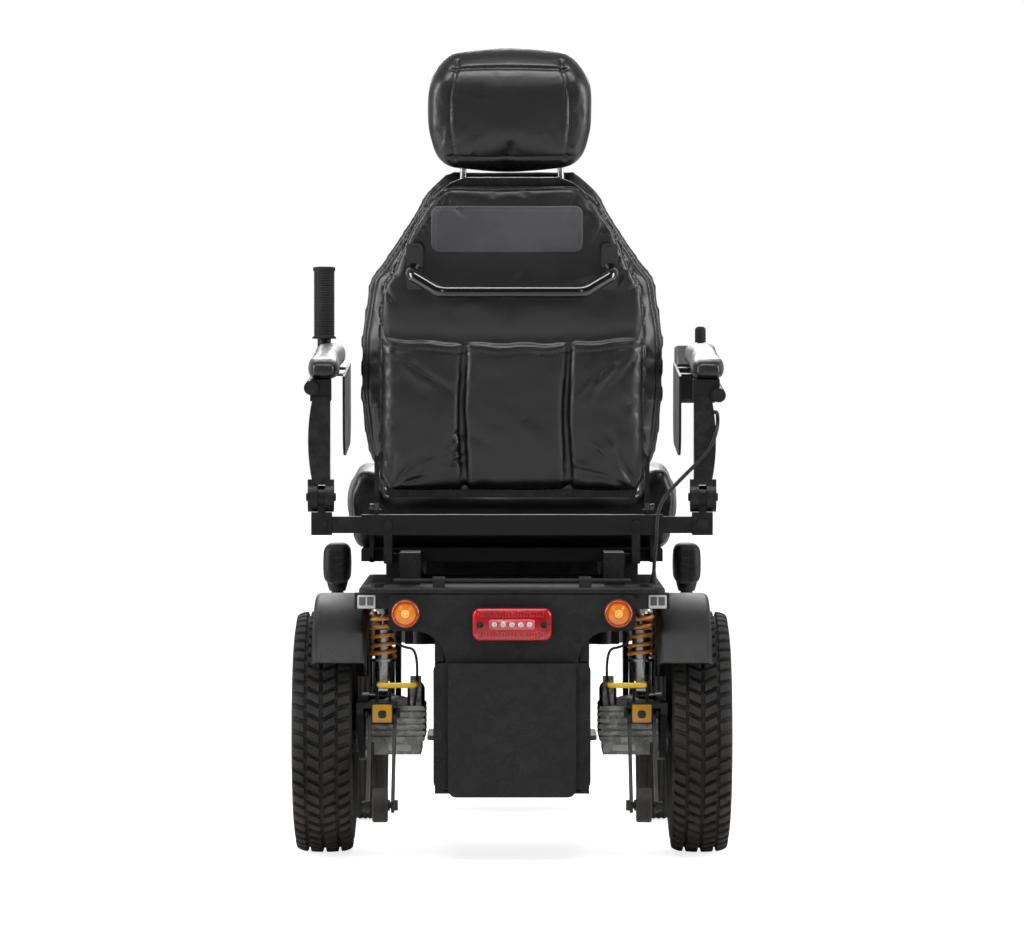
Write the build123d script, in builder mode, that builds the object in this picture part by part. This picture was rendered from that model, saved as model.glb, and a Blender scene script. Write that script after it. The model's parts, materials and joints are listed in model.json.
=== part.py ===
from build123d import *
from math import cos, radians, sin
import os

os.makedirs("parts", exist_ok=True)

# A rear-wheel-drive power wheelchair. It faces +Y, its right-hand side is +X,
# and the ground is Z = 0. The origin is on the ground, at the middle of its box.
# Millimetres throughout. Names ending in _back or _ahead count from the drive axle.

# ---- driving dimensions ----
overall_width = 640.0      # outside to outside of the drive tyres
rear_reach = 265.0         # drive axle back to the anti-tip wheels
front_reach = 950.0        # drive axle forward to the footplate's edge
wheelbase = 525.0          # drive axle to caster axle
tyre_radius = 178.0
tyre_width = 88.0
caster_radius = 127.0
caster_width = 68.0
caster_track = 466.0       # between the two caster swivels
caster_trail = 55.0        # swivel axis to caster axle
seat_half_width = 249.0    # to the outside of the seat bolsters
seat_depth = 400.0
arm_track = 562.0          # between the two armrest posts
lid_top_z = 397.0
seat_pan_z = 445.0
running_fit = 0.3          # clearance of a pin or sliding tube in its bore
seat_gap = 0.3             # clearance between a soft or separate piece and its seat

axle_y = (rear_reach - front_reach) / 2
axle_z = tyre_radius
wheel_x = (overall_width - tyre_width) / 2
caster_x = caster_track / 2
post_x = arm_track / 2


# ---- helpers ----
def span_about(middle, width):
    return (middle - width / 2, middle + width / 2)


def block(x_span, y_span, z_span, mode=Mode.ADD):
    spans = (x_span, y_span, z_span)
    with Locations(tuple(sum(span) / 2 for span in spans)):
        Box(*[span[1] - span[0] for span in spans], mode=mode)


def rod_x(radius, x_span, y, z, mode=Mode.ADD):
    with Locations((sum(x_span) / 2, y, z)):
        Cylinder(radius, x_span[1] - x_span[0], rotation=(0, 90, 0), mode=mode)


def rod_y(radius, x, y_span, z, mode=Mode.ADD):
    with Locations((x, sum(y_span) / 2, z)):
        Cylinder(radius, y_span[1] - y_span[0], rotation=(90, 0, 0), mode=mode)


def rod_z(radius, x, y, z_span, mode=Mode.ADD):
    with Locations((x, y, sum(z_span) / 2)):
        Cylinder(radius, z_span[1] - z_span[0], mode=mode)


def side_link(x_span, ends):
    # a flat bar in the YZ plane, rounded about each (y, z, radius) in ends
    with BuildSketch(Plane.YZ.offset(x_span[0])) as outline:
        for y, z, radius in ends:
            with Locations((y, z)):
                Circle(radius)
        make_hull()
    extrude(outline.sketch, amount=x_span[1] - x_span[0])


def tube_along(points, radii, radius):
    # a round bar whose centre line runs through points, with an arc at each corner
    with BuildLine() as route:
        path = FilletPolyline(*points, radius=radii) if radii else Line(*points)
    with BuildSketch(Plane(path @ 0, z_dir=path % 0)) as section:
        Circle(radius)
    sweep(section.sketch, path=route.wires()[0])


def save(piece, name):
    piece.label = name
    export_step(piece, f"parts/{name}.step")


def save_pair(right_piece, name):
    save(right_piece, f"{name}_right")
    with BuildPart() as left_piece:
        mirror(right_piece, about=Plane.YZ)
    save(left_piece.part, f"{name}_left")


# ---- drive wheels ----
tyre_wall = 9.0
bead_radius = 108.0
bead_half_width = 27.0
shoulder_radius = 163.0
sidewall_radius = 135.0
sidewall_set_in = 0.8      # so that the bulge reaches the tyre's full width
axle_radius = 12.0
rim_half_width = 30.0
rim_wall = 8.0
hub_radius = 30.0
hub_inner_x = wheel_x - tyre_width / 2 + 2
hub_outer_x = wheel_x + 24
rim_windows = 5
window_radius = 18.0
window_circle = 66.0
disc_x = (wheel_x, wheel_x + 12)
axle_end_x = wheel_x + 16


def drive_tyre():
    half = tyre_width / 2
    shoulder = half - 4
    with BuildPart() as tyre:
        with BuildSketch(Plane.XZ.offset(-axle_y)):
            with BuildLine():
                left_bead = (wheel_x - bead_half_width, axle_z + bead_radius)
                right_bead = (wheel_x + bead_half_width, axle_z + bead_radius)
                left_edge = (wheel_x - shoulder, axle_z + shoulder_radius)
                right_edge = (wheel_x + shoulder, axle_z + shoulder_radius)
                ThreePointArc(left_bead, (wheel_x - half + sidewall_set_in, axle_z + sidewall_radius), left_edge)
                ThreePointArc(left_edge, (wheel_x, axle_z + tyre_radius), right_edge)
                ThreePointArc(right_edge, (wheel_x + half - sidewall_set_in, axle_z + sidewall_radius), right_bead)
                Line(right_bead, left_bead)
            make_face()
            with Locations((wheel_x, axle_z + sidewall_radius + 2)):
                Ellipse(half - tyre_wall, tyre_radius - sidewall_radius - tyre_wall, mode=Mode.SUBTRACT)
            with Locations((wheel_x, axle_z + bead_radius)):
                Rectangle(2 * (bead_half_width - tyre_wall), 2 * tyre_wall, mode=Mode.SUBTRACT)
        revolve(axis=Axis((0, axle_y, axle_z), (1, 0, 0)))
    return tyre.part


def drive_rim():
    seat_radius = bead_radius - seat_gap
    with BuildPart() as rim:
        rod_x(seat_radius, span_about(wheel_x, 2 * rim_half_width), axle_y, axle_z)
        rod_x(seat_radius - rim_wall, span_about(wheel_x, 2 * rim_half_width + 2), axle_y, axle_z, Mode.SUBTRACT)
        rod_x(seat_radius - rim_wall / 2, disc_x, axle_y, axle_z)
        with BuildSketch(Plane.YZ.offset(disc_x[0])):
            with Locations((axle_y, axle_z)):
                with PolarLocations(window_circle, rim_windows):
                    Circle(window_radius)
        extrude(amount=disc_x[1] - disc_x[0], mode=Mode.SUBTRACT)
        rod_x(hub_radius, (hub_inner_x, hub_outer_x), axle_y, axle_z)
        rod_x(axle_radius + running_fit, (hub_inner_x, axle_end_x + 1), axle_y, axle_z, Mode.SUBTRACT)
    return rim.part


save_pair(drive_tyre(), "drive_tyre")
save_pair(drive_rim(), "drive_rim")

# ---- swing arm: carries motor, shock foot, brake block and anti-tip bars ----
pivot_y = axle_y + 170.0
pivot_z = 200.0
pivot_pin_radius = 10.0
pivot_boss_radius = 22.0
pivot_boss_x = (177.0, 216.0)
arm_plate_x = (216.0, 226.0)
arm_hub_radius = 42.0
gearbox_boss_radius = 30.0
gearbox_top_z = 221.0
bridge_z = (gearbox_top_z, gearbox_top_z + 8)
bridge_y = (axle_y - 133, axle_y - 80)
brake_block_x = (173.0, 204.0)
brake_block_z = (199.0, gearbox_top_z)
shock_x = 187.7
shock_y = axle_y - 95.0
shock_foot_z = 247.0
shock_pin_radius = 5.0
shock_eye_width = 14.0
shock_lug_gap = 0.6
shock_lug_thickness = 4.0
anti_tip_bar = 5.0
anti_tip_bar_radius = 11.0
anti_tip_radius = 24.5
anti_tip_width = 22.0
anti_tip_y = axle_y - rear_reach + anti_tip_radius
anti_tip_z = 90.0
anti_tip_x = sum(brake_block_x) / 2
anti_tip_top = (axle_y - 112, 214.0)
anti_tip_pin_radius = 5.0
bolt_head_radius = 8.5
bolt_head = 5.0


def swing_arm():
    lug_inner = shock_eye_width / 2 + shock_lug_gap
    lug_outer = lug_inner + shock_lug_thickness
    bar_outer = (brake_block_x[1], brake_block_x[1] + anti_tip_bar)
    bar_inner = (brake_block_x[0] - anti_tip_bar, brake_block_x[0])
    with BuildPart() as arm:
        side_link(arm_plate_x, [(axle_y, axle_z, arm_hub_radius), (pivot_y, pivot_z, pivot_boss_radius + 2)])
        side_link(arm_plate_x, [(axle_y, axle_z, arm_hub_radius), (bridge_y[0] + 10, bridge_z[1] - 10, 10)])
        rod_x(pivot_boss_radius, (pivot_boss_x[0], arm_plate_x[1]), pivot_y, pivot_z)
        block((brake_block_x[0] - anti_tip_bar, arm_plate_x[1]), bridge_y, bridge_z)
        block(brake_block_x, bridge_y, brake_block_z)
        for lug_x in ((shock_x - lug_outer, shock_x - lug_inner), (shock_x + lug_inner, shock_x + lug_outer)):
            side_link(lug_x, [(shock_y, shock_foot_z, 9), (shock_y - 8, bridge_z[1], 4), (shock_y + 8, bridge_z[1], 4)])
        rod_x(shock_pin_radius, span_about(shock_x, 2 * lug_outer + 6), shock_y, shock_foot_z)
        for bar_x in (bar_inner, bar_outer):
            side_link(bar_x, [(*anti_tip_top, anti_tip_bar_radius), (anti_tip_y, anti_tip_z, anti_tip_bar_radius)])
        rod_x(anti_tip_pin_radius, (bar_inner[0] - 2, bar_outer[1] + 2), anti_tip_y, anti_tip_z)
        for y, z in (anti_tip_top, (anti_tip_y, anti_tip_z)):
            with BuildSketch(Plane.YZ.offset(bar_inner[0] - bolt_head)):
                with Locations((y, z)):
                    RegularPolygon(bolt_head_radius, 6)
            extrude(amount=bolt_head)
            rod_x(bolt_head_radius, (bar_outer[1], bar_outer[1] + bolt_head), y, z)
        rod_x(gearbox_boss_radius + running_fit, (arm_plate_x[0] - 1, arm_plate_x[1] + 1), axle_y, axle_z, Mode.SUBTRACT)
        rod_x(pivot_pin_radius + running_fit, (pivot_boss_x[0] - 1, arm_plate_x[1] + 1), pivot_y, pivot_z, Mode.SUBTRACT)
    return arm.part


# ---- gear motor: finned casting with the output axle ----
gearbox_x = (127.0, 214.0)
gearbox_z = (168.0, gearbox_top_z)
gearbox_y = (axle_y - 79, axle_y + 62)
sump_x = (133.0, 202.0)
sump_z = (149.0, 168.0)
motor_radius = 38.0
motor_centre = (172.0, 184.0)
motor_y = (gearbox_y[1], axle_y + 136)
fin_pitch = 9.0
fin_groove = 3.0
brake_centre = (141.0, axle_y - 40.0)
brake_radius = 13.0
brake_top_z = 243.0
lever_shaft_z = 256.0
lever_shaft_radius = 4.0
lever_post_y = (axle_y - 74, axle_y - 62)


def gear_motor():
    with BuildPart() as motor:
        block(gearbox_x, gearbox_y, gearbox_z)
        fillet(motor.edges().filter_by(Axis.Y), 6)
        for step in range(1, 6):
            groove_z = gearbox_z[0] + step * fin_pitch - fin_groove / 2
            block((gearbox_x[0] - 1, gearbox_x[1] + 1), (gearbox_y[0] - 1, gearbox_y[0] + fin_groove),
                  (groove_z, groove_z + fin_groove), Mode.SUBTRACT)
            block((gearbox_x[0] - 1, gearbox_x[0] + fin_groove), (gearbox_y[0] - 1, gearbox_y[1] + 1),
                  (groove_z, groove_z + fin_groove), Mode.SUBTRACT)
        block(sump_x, (gearbox_y[0] + 6, gearbox_y[1]), sump_z)
        rod_y(motor_radius, motor_centre[0], motor_y, motor_centre[1])
        rod_y(motor_radius - 5, motor_centre[0], (motor_y[1], motor_y[1] + 8), motor_centre[1])
        rod_z(brake_radius, *brake_centre, (gearbox_top_z - 1, brake_top_z))
        with Locations((*brake_centre, brake_top_z)):
            Sphere(brake_radius)
        block(span_about(brake_centre[0], 16), lever_post_y, (gearbox_top_z - 1, lever_shaft_z + 8))
        rod_y(lever_shaft_radius + running_fit, brake_centre[0], (lever_post_y[0] - 1, lever_post_y[1] + 1),
              lever_shaft_z, Mode.SUBTRACT)
        rod_x(gearbox_boss_radius, (gearbox_x[1] - 1, arm_plate_x[1] + 4), axle_y, axle_z)
        rod_x(axle_radius, (gearbox_x[1], axle_end_x), axle_y, axle_z)
    return motor.part


# ---- brake release lever: a flat C-shaped loop of round bar ----
loop_radius = 4.0
loop_x = (brake_centre[0], 192.0)
loop_y = (axle_y - 156, axle_y - 122)


def brake_lever():
    corner = 9.0
    points = [
        (loop_x[0], lever_post_y[1] + 3, lever_shaft_z),
        (loop_x[0], loop_y[0], lever_shaft_z),
        (loop_x[1], loop_y[0], lever_shaft_z),
        (loop_x[1], loop_y[1], lever_shaft_z),
    ]
    with BuildPart() as lever:
        tube_along(points, [corner, corner], loop_radius)
    return lever.part


# ---- anti-tip wheels ----
def anti_tip_wheel():
    with BuildPart() as wheel:
        rod_x(anti_tip_radius, span_about(anti_tip_x, anti_tip_width), anti_tip_y, anti_tip_z)
        fillet(wheel.edges(), 3)
        rod_x(anti_tip_pin_radius + 2 * running_fit, span_about(anti_tip_x, anti_tip_width + 6),
              anti_tip_y, anti_tip_z, Mode.SUBTRACT)
        rod_x(anti_tip_pin_radius + 3, span_about(anti_tip_x, anti_tip_width + 6), anti_tip_y, anti_tip_z)
        rod_x(anti_tip_pin_radius + running_fit, span_about(anti_tip_x, anti_tip_width + 8),
              anti_tip_y, anti_tip_z, Mode.SUBTRACT)
    return wheel.part


save_pair(swing_arm(), "swing_arm")
save_pair(gear_motor(), "gear_motor")
save_pair(brake_lever(), "brake_lever")
save_pair(anti_tip_wheel(), "anti_tip_wheel")

# ---- shock absorbers ----
shock_head_z = 374.0
shock_rod_radius = 5.0
shock_rod_end_z = 302.0
damper_radius = 12.5
damper_z = (258.5, 334.0)
damper_bore_z = 276.0
shock_eye_radius = 9.0
shock_neck_radius = 7.4
foot_pin_clearance = 1.2   # the lower eye is the linkage's open pivot
spring_seat_radius = 19.0
spring_seat = 3.5
spring_z = (291.0, 361.0)
spring_wire = 6.0
spring_outer_radius = 20.0
spring_pitch = 11.0


def shock_rod():
    with BuildPart() as rod:
        rod_x(shock_eye_radius, span_about(shock_x, shock_eye_width), shock_y, shock_head_z)
        rod_z(shock_rod_radius, shock_x, shock_y, (shock_rod_end_z, shock_head_z))
        rod_z(spring_seat_radius, shock_x, shock_y, (spring_z[1], spring_z[1] + spring_seat))
        rod_z(damper_radius, shock_x, shock_y, (spring_z[1] - 4, spring_z[1]))
        rod_x(shock_pin_radius + running_fit, span_about(shock_x, shock_eye_width + 2), shock_y, shock_head_z,
              Mode.SUBTRACT)
    return rod.part


def shock_damper():
    with BuildPart() as damper:
        rod_x(shock_eye_radius, span_about(shock_x, shock_eye_width), shock_y, shock_foot_z)
        rod_z(damper_radius, shock_x, shock_y, damper_z)
        rod_z(shock_neck_radius, shock_x, shock_y, (shock_foot_z + foot_pin_clearance, damper_z[0] + 1))
        rod_z(spring_seat_radius, shock_x, shock_y, (spring_z[0] - spring_seat, spring_z[0]))
        rod_z(shock_rod_radius + running_fit, shock_x, shock_y, (damper_bore_z, damper_z[1] + 1), Mode.SUBTRACT)
        rod_x(shock_pin_radius + foot_pin_clearance, span_about(shock_x, shock_eye_width + 2),
              shock_y, shock_foot_z, Mode.SUBTRACT)
    return damper.part


def shock_spring():
    height = spring_z[1] - spring_z[0] - spring_wire - 2 * seat_gap
    start_z = spring_z[0] + seat_gap + spring_wire / 2
    with BuildPart() as spring:
        with BuildLine() as coil:
            helix = Helix(spring_pitch, height, spring_outer_radius - spring_wire / 2,
                          center=(shock_x, shock_y, start_z))
        with BuildSketch(Plane(helix @ 0, z_dir=helix % 0)):
            Circle(spring_wire / 2)
        sweep(path=coil.wires()[0])
    return spring.part


save_pair(shock_rod(), "shock_rod")
save_pair(shock_damper(), "shock_damper")
save_pair(shock_spring(), "shock_spring")

# ---- base frame: rails, crossmembers, caster arms and brackets, welded ----
plate_y = axle_y - 150.0       # the rear face of the body plate
plate_thickness = 4.0
lid_thickness = 8.0
lid_half_width = 222.0
frame_top_z = lid_top_z - lid_thickness
cross_y = (plate_y + plate_thickness, axle_y - 118)
cross_half_width = 228.0
cross_z = (366.0, frame_top_z)
rail_x = (140.0, 165.0)
rail_z = (345.0, frame_top_z)
front_cross_y = (axle_y + 300, axle_y + 325)
caster_arm_z = (290.0, 330.0)
swivel_y = axle_y + wheelbase + caster_trail
swivel_stem_radius = 10.0
housing_radius = 24.0
housing_z = (271.0, 340.0)
crown_top_z = housing_z[0] - 1
tray_half_width = 112.0
tray_wall = 3.0
tray_bottom_z = 98.0
upright_x = (99.0, tray_half_width)
shock_lug_z = frame_top_z - 4
pivot_bracket_x = (pivot_boss_x[0] - 9, pivot_boss_x[0] - 1)


def base_frame():
    lug_inner = shock_eye_width / 2 + shock_lug_gap
    lug_outer = lug_inner + shock_lug_thickness
    arm_half = 18.0
    with BuildPart() as frame:
        block((-cross_half_width, cross_half_width), cross_y, cross_z)
        block((-rail_x[1], rail_x[1]), front_cross_y, (caster_arm_z[0], frame_top_z))
        block(rail_x, (cross_y[1] - 1, front_cross_y[0] + 1), rail_z)
        block(upright_x, cross_y, (290.0, cross_z[0] + 1))
        # the caster arm runs outward and forward to the swivel housing
        with BuildSketch(Plane.XY.offset(caster_arm_z[0])):
            with Locations((rail_x[0], sum(front_cross_y) / 2), (caster_x, swivel_y)):
                Circle(arm_half)
            make_hull()
        extrude(amount=caster_arm_z[1] - caster_arm_z[0])
        rod_z(housing_radius, caster_x, swivel_y, housing_z)
        rod_z(housing_radius - 4, caster_x, swivel_y, (housing_z[1], housing_z[1] + 5))
        # the bracket and pin that the swing arm turns on
        side_link(pivot_bracket_x, [(pivot_y, pivot_z, pivot_boss_radius), (pivot_y, rail_z[0] + 10, 34)])
        block((rail_x[1] - 1, pivot_bracket_x[1]), span_about(pivot_y, 60), (rail_z[0] + 4, rail_z[1] - 4))
        rod_x(pivot_pin_radius, (pivot_bracket_x[0], arm_plate_x[1] + 3), pivot_y, pivot_z)
        # the shock's upper mount
        block(span_about(shock_x, 2 * lug_outer), (cross_y[1] - 1, shock_y + 14), (shock_lug_z, frame_top_z))
        for lug_x in ((shock_x - lug_outer, shock_x - lug_inner), (shock_x + lug_inner, shock_x + lug_outer)):
            side_link(lug_x, [(shock_y, shock_head_z, 8), (shock_y, shock_lug_z, 4)])
        rod_x(shock_pin_radius, span_about(shock_x, 2 * lug_outer), shock_y, shock_head_z)
        mirror(about=Plane.YZ)
        for side in (-1, 1):
            rod_z(swivel_stem_radius + running_fit, side * caster_x, swivel_y,
                  (housing_z[0] - 1, housing_z[1]), Mode.SUBTRACT)
    return frame.part


# ---- battery tray, batteries and controller ----
tray_front_y = front_cross_y[0] - 1
battery_size = (197.0, 165.0, 170.0)
battery_gap = 6.0
controller_size = (150.0, 84.0, 62.0)
flange_depth = 20.0
screw_radius = 2.5
screw_head_radius = 5.0
screw_x = 107.0
screw_levels = (144.0, 257.0)
cover_top_z = 288.0


def battery_tray():
    with BuildPart() as tray:
        block((-tray_half_width, tray_half_width), (cross_y[0], tray_front_y), (tray_bottom_z, rail_z[0]))
        block((tray_wall - tray_half_width, tray_half_width - tray_wall),
              (cross_y[0] - 1, tray_front_y - tray_wall), (tray_bottom_z + tray_wall, rail_z[0] + 1), Mode.SUBTRACT)
        # the uprights of the frame stand above the rear corners
        block((-tray_half_width - 1, tray_half_width + 1), (cross_y[0] - 1, cross_y[1] + 1),
              (cover_top_z + 1, rail_z[0] + 1), Mode.SUBTRACT)
        for side in (-1, 1):
            edge = sorted((side * (tray_half_width - 1), side * rail_x[1]))
            block(edge, (cross_y[1] + 2, pivot_y - 40), (rail_z[0] - tray_wall, rail_z[0]))
            corner = sorted((side * upright_x[0], side * tray_half_width))
            block(corner, (cross_y[0], cross_y[0] + tray_wall), (tray_bottom_z, cover_top_z))
            for level in screw_levels:
                rod_y(screw_radius + running_fit, side * screw_x, (cross_y[0] - 1, cross_y[0] + tray_wall + 1),
                      level, Mode.SUBTRACT)
    return tray.part


def batteries():
    floor_z = tray_bottom_z + tray_wall
    first_y = cross_y[0] + tray_wall + battery_gap
    terminal_radius = 8.0
    with BuildPart() as pair:
        for index in range(2):
            start_y = first_y + index * (battery_size[1] + battery_gap)
            case_y = (start_y, start_y + battery_size[1])
            block(span_about(0, battery_size[0]), case_y, (floor_z, floor_z + battery_size[2]))
            for terminal_x in (-70, 70):
                rod_z(terminal_radius, terminal_x, start_y + 25,
                      (floor_z + battery_size[2] - 1, floor_z + battery_size[2] + 10))
    return pair.part


def motor_controller():
    floor_z = tray_bottom_z + tray_wall
    back_y = tray_front_y - tray_wall - 4 - controller_size[1]
    with BuildPart() as controller:
        block(span_about(0, controller_size[0]), (back_y, back_y + controller_size[1]),
              (floor_z, floor_z + controller_size[2]))
        for fin in range(7):
            fin_x = (fin - 3) * 20.0
            block(span_about(fin_x, 10), (back_y + 4, back_y + controller_size[1] - 4),
                  (floor_z + controller_size[2] - 6, floor_z + controller_size[2] + 1), Mode.SUBTRACT)
    return controller.part


save(base_frame(), "base_frame")
save(battery_tray(), "battery_tray")
save(batteries(), "batteries")
save(motor_controller(), "motor_controller")

# ---- lid with its rod, body plate, rear cover and screws ----
lid_front_y = front_cross_y[1]
rail_rod_radius = 3.5
rail_rod_half = 172.0
rail_clip_x = 106.0
rail_rod_z = lid_top_z + 9.5
latch_x = 195.0
wing_half_width = 179.0
wing_bottom_z = 334.0
neck_half_width = 97.0
plate_top_z = 387.0
neck_sweep = 44.0
cover_half_width = 114.0
cover_panel_half = 92.5
cover_panel_depth = 14.0
cover_sheet = 3.0
cover_flange_z = (104.0, cover_top_z)
cover_panel_z = (94.0, cover_top_z)


def base_lid():
    with BuildPart() as lid:
        block((-lid_half_width, lid_half_width), (plate_y, lid_front_y), (frame_top_z, lid_top_z))
        fillet(lid.edges().filter_by(Axis.Z), 14)
        chamfer(lid.faces().sort_by(Axis.Z)[-1].edges(), 2.5)
        for side in (-1, 1):
            rod_z(9, side * latch_x, plate_y + 22, (lid_top_z - 1, lid_top_z + 5))
            block(span_about(side * rail_clip_x, 18), span_about(plate_y + 12, 14), (lid_top_z - 1, rail_rod_z))
            rod_x(7, span_about(side * rail_clip_x, 18), plate_y + 12, rail_rod_z)
        rod_x(rail_rod_radius, (-rail_rod_half, rail_rod_half), plate_y + 12, rail_rod_z)
    return lid.part


def rear_plate():
    with BuildPart() as plate:
        with BuildSketch(Plane.XZ.offset(-plate_y)):
            with BuildLine():
                Polyline((0, plate_top_z), (wing_half_width, plate_top_z), (wing_half_width, wing_bottom_z),
                         (neck_half_width + neck_sweep, wing_bottom_z))
                RadiusArc((neck_half_width + neck_sweep, wing_bottom_z),
                          (neck_half_width, wing_bottom_z - neck_sweep), -neck_sweep)
                Polyline((neck_half_width, wing_bottom_z - neck_sweep), (neck_half_width, cover_top_z + 0.6),
                         (0, cover_top_z + 0.6))
                mirror(about=Plane.YZ)
            make_face()
        extrude(amount=-plate_thickness)
        corners = plate.edges().filter_by(Axis.Y).group_by(Axis.X)
        fillet(corners[0] + corners[-1], 10)
    return plate.part


def rear_cover():
    panel_back = plate_y - cover_panel_depth
    with BuildPart() as cover:
        block((-cover_half_width, cover_half_width), (plate_y, plate_y + cover_sheet), cover_flange_z)
        fillet(cover.edges().filter_by(Axis.Y), 12)
        block((-cover_panel_half, cover_panel_half), (panel_back, plate_y + cover_sheet), cover_panel_z)
        bottom_corners = cover.edges().filter_by(Axis.Y).group_by(Axis.Z)[0]
        fillet(bottom_corners, 12)
        block((cover_sheet - cover_panel_half, cover_panel_half - cover_sheet),
              (panel_back + cover_sheet, plate_y + cover_sheet + 1),
              (cover_panel_z[0] + cover_sheet, cover_panel_z[1] - cover_sheet), Mode.SUBTRACT)
        for side in (-1, 1):
            for level in screw_levels:
                rod_y(screw_radius + running_fit, side * screw_x, (plate_y - 1, plate_y + cover_sheet + 1),
                      level, Mode.SUBTRACT)
    return cover.part


def cover_screws():
    shank = plate_thickness + tray_wall
    with BuildPart() as screws:
        for side in (-1, 1):
            for level in screw_levels:
                rod_y(screw_radius, side * screw_x, (plate_y, plate_y + shank), level)
                rod_y(screw_head_radius, side * screw_x, (plate_y - 2.5, plate_y), level)
                rod_y(1.6, side * screw_x, (plate_y - 3, plate_y - 1), level, Mode.SUBTRACT)
    return screws.part


save(base_lid(), "base_lid")
save(rear_plate(), "rear_plate")
save(rear_cover(), "rear_cover")
save(cover_screws(), "cover_screws")

# ---- rear lamps: each a base and a lens ----
tail_lamp_size = (112.0, 48.0)
tail_lamp_z = 345.0
tail_base_depth = 17.0
tail_lens_depth = 13.0
side_lamp_x = 154.0
side_lamp_z = 360.0
side_lamp_radius = 21.0
side_base_depth = 10.0
side_lens_depth = 12.0
lens_gap = 0.2


def rear_lamps():
    with BuildPart() as lamps:
        base_back = plate_y - tail_base_depth
        with BuildSketch(Plane.XZ.offset(-plate_y)):
            with Locations((0, tail_lamp_z)):
                RectangleRounded(tail_lamp_size[0] - 4, tail_lamp_size[1] - 4, 12)
        extrude(amount=tail_base_depth)
        with BuildSketch(Plane.XZ.offset(lens_gap - base_back)):
            with Locations((0, tail_lamp_z)):
                RectangleRounded(*tail_lamp_size, 14)
        extrude(amount=tail_lens_depth, taper=4)
        for side in (-1, 1):
            rod_y(side_lamp_radius, side * side_lamp_x, (plate_y - side_base_depth, plate_y), side_lamp_z)
            lens_back = plate_y - side_base_depth - lens_gap
            rod_y(side_lamp_radius - 1, side * side_lamp_x, (lens_back - side_lens_depth, lens_back), side_lamp_z)
    return lamps.part


# ---- fenders over the drive tyres ----
fender_radius = 205.0
fender_sheet = 3.0
fender_x = (211.0, 290.0)
fender_lip_radius = 193.0
fender_cheek_radius = 166.0
fender_edge = 9.0
fender_rear_angle = 33.0    # above the horizontal, behind the axle
fender_front_angle = 20.0   # above the horizontal, ahead of the axle
fender_tab_x = (212.0, lid_half_width - 1)


def fenders():
    inner = fender_radius - fender_sheet
    # the section starts at the front edge and is turned back over the tyre
    outward = Vector(0, cos(radians(fender_front_angle)), sin(radians(fender_front_angle)))
    section = Plane(origin=(0, axle_y, axle_z), x_dir=(1, 0, 0), z_dir=Vector(1, 0, 0).cross(outward))
    with BuildPart() as pair:
        with BuildSketch(section):
            with BuildLine():
                FilletPolyline(
                    (fender_x[0], fender_cheek_radius), (fender_x[0], fender_radius),
                    (fender_x[1], fender_radius), (fender_x[1], fender_lip_radius), radius=fender_edge)
                Polyline((fender_x[1], fender_lip_radius), (fender_x[1] - fender_sheet, fender_lip_radius))
                FilletPolyline(
                    (fender_x[1] - fender_sheet, fender_lip_radius), (fender_x[1] - fender_sheet, inner),
                    (fender_x[0] + fender_sheet, inner), (fender_x[0] + fender_sheet, fender_cheek_radius),
                    radius=fender_edge - fender_sheet)
                Line((fender_x[0] + fender_sheet, fender_cheek_radius), (fender_x[0], fender_cheek_radius))
            make_face()
        revolve(axis=Axis((0, axle_y, axle_z), (1, 0, 0)),
                revolution_arc=180 - fender_rear_angle - fender_front_angle)
        for tab_y in (axle_y - 30, axle_y + 30):
            block(fender_tab_x, span_about(tab_y, 16), (axle_z + inner - 6, frame_top_z))
        mirror(about=Plane.YZ)
    return pair.part


# ---- front lamp pods on their stalks ----
pod_x = 272.0
pod_y = axle_y + 375.0
pod_z = (380.0, 444.0)
pod_radius = 20.0
pod_length = 74.0
stalk_radius = 9.0
stalk_foot_x = 177.0
stalk_level_z = 356.0


def front_lamps():
    with BuildPart() as pods:
        block(span_about(pod_x, 2 * pod_radius), span_about(pod_y, pod_length), pod_z)
        fillet(pods.edges().filter_by(Axis.Z), 14)
        fillet(pods.faces().sort_by(Axis.Z)[-1].edges(), 12)
        fillet(pods.faces().sort_by(Axis.Z)[0].edges(), 6)
        for groove in range(3):
            groove_z = pod_z[0] + 26 + groove * 9
            block(span_about(pod_x, 2 * pod_radius - 12), (pod_y - pod_length, pod_y - pod_length / 2 + 1.5),
                  (groove_z, groove_z + 2.5), Mode.SUBTRACT)
        points = [(stalk_foot_x, pod_y, caster_arm_z[1] - 2), (stalk_foot_x, pod_y, stalk_level_z),
                  (pod_x, pod_y, stalk_level_z), (pod_x, pod_y, pod_z[0] + 4)]
        tube_along(points, [12, 12], stalk_radius)
        block((stalk_foot_x - 60, stalk_foot_x + 60), (pod_y - 60, pod_y + 60),
              (caster_arm_z[0], caster_arm_z[1]), Mode.SUBTRACT)
        mirror(about=Plane.YZ)
    return pods.part


save(rear_lamps(), "rear_lamps")
save(fenders(), "fenders")
save(front_lamps(), "front_lamps")

# ---- casters ----
fork_inner_half = caster_width / 2 + 4
fork_leg = 8.0
fork_crown = 9.0
caster_axle_radius = 6.0
caster_hub_radius = 88.0
caster_y = swivel_y - caster_trail
caster_z = caster_radius


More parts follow.
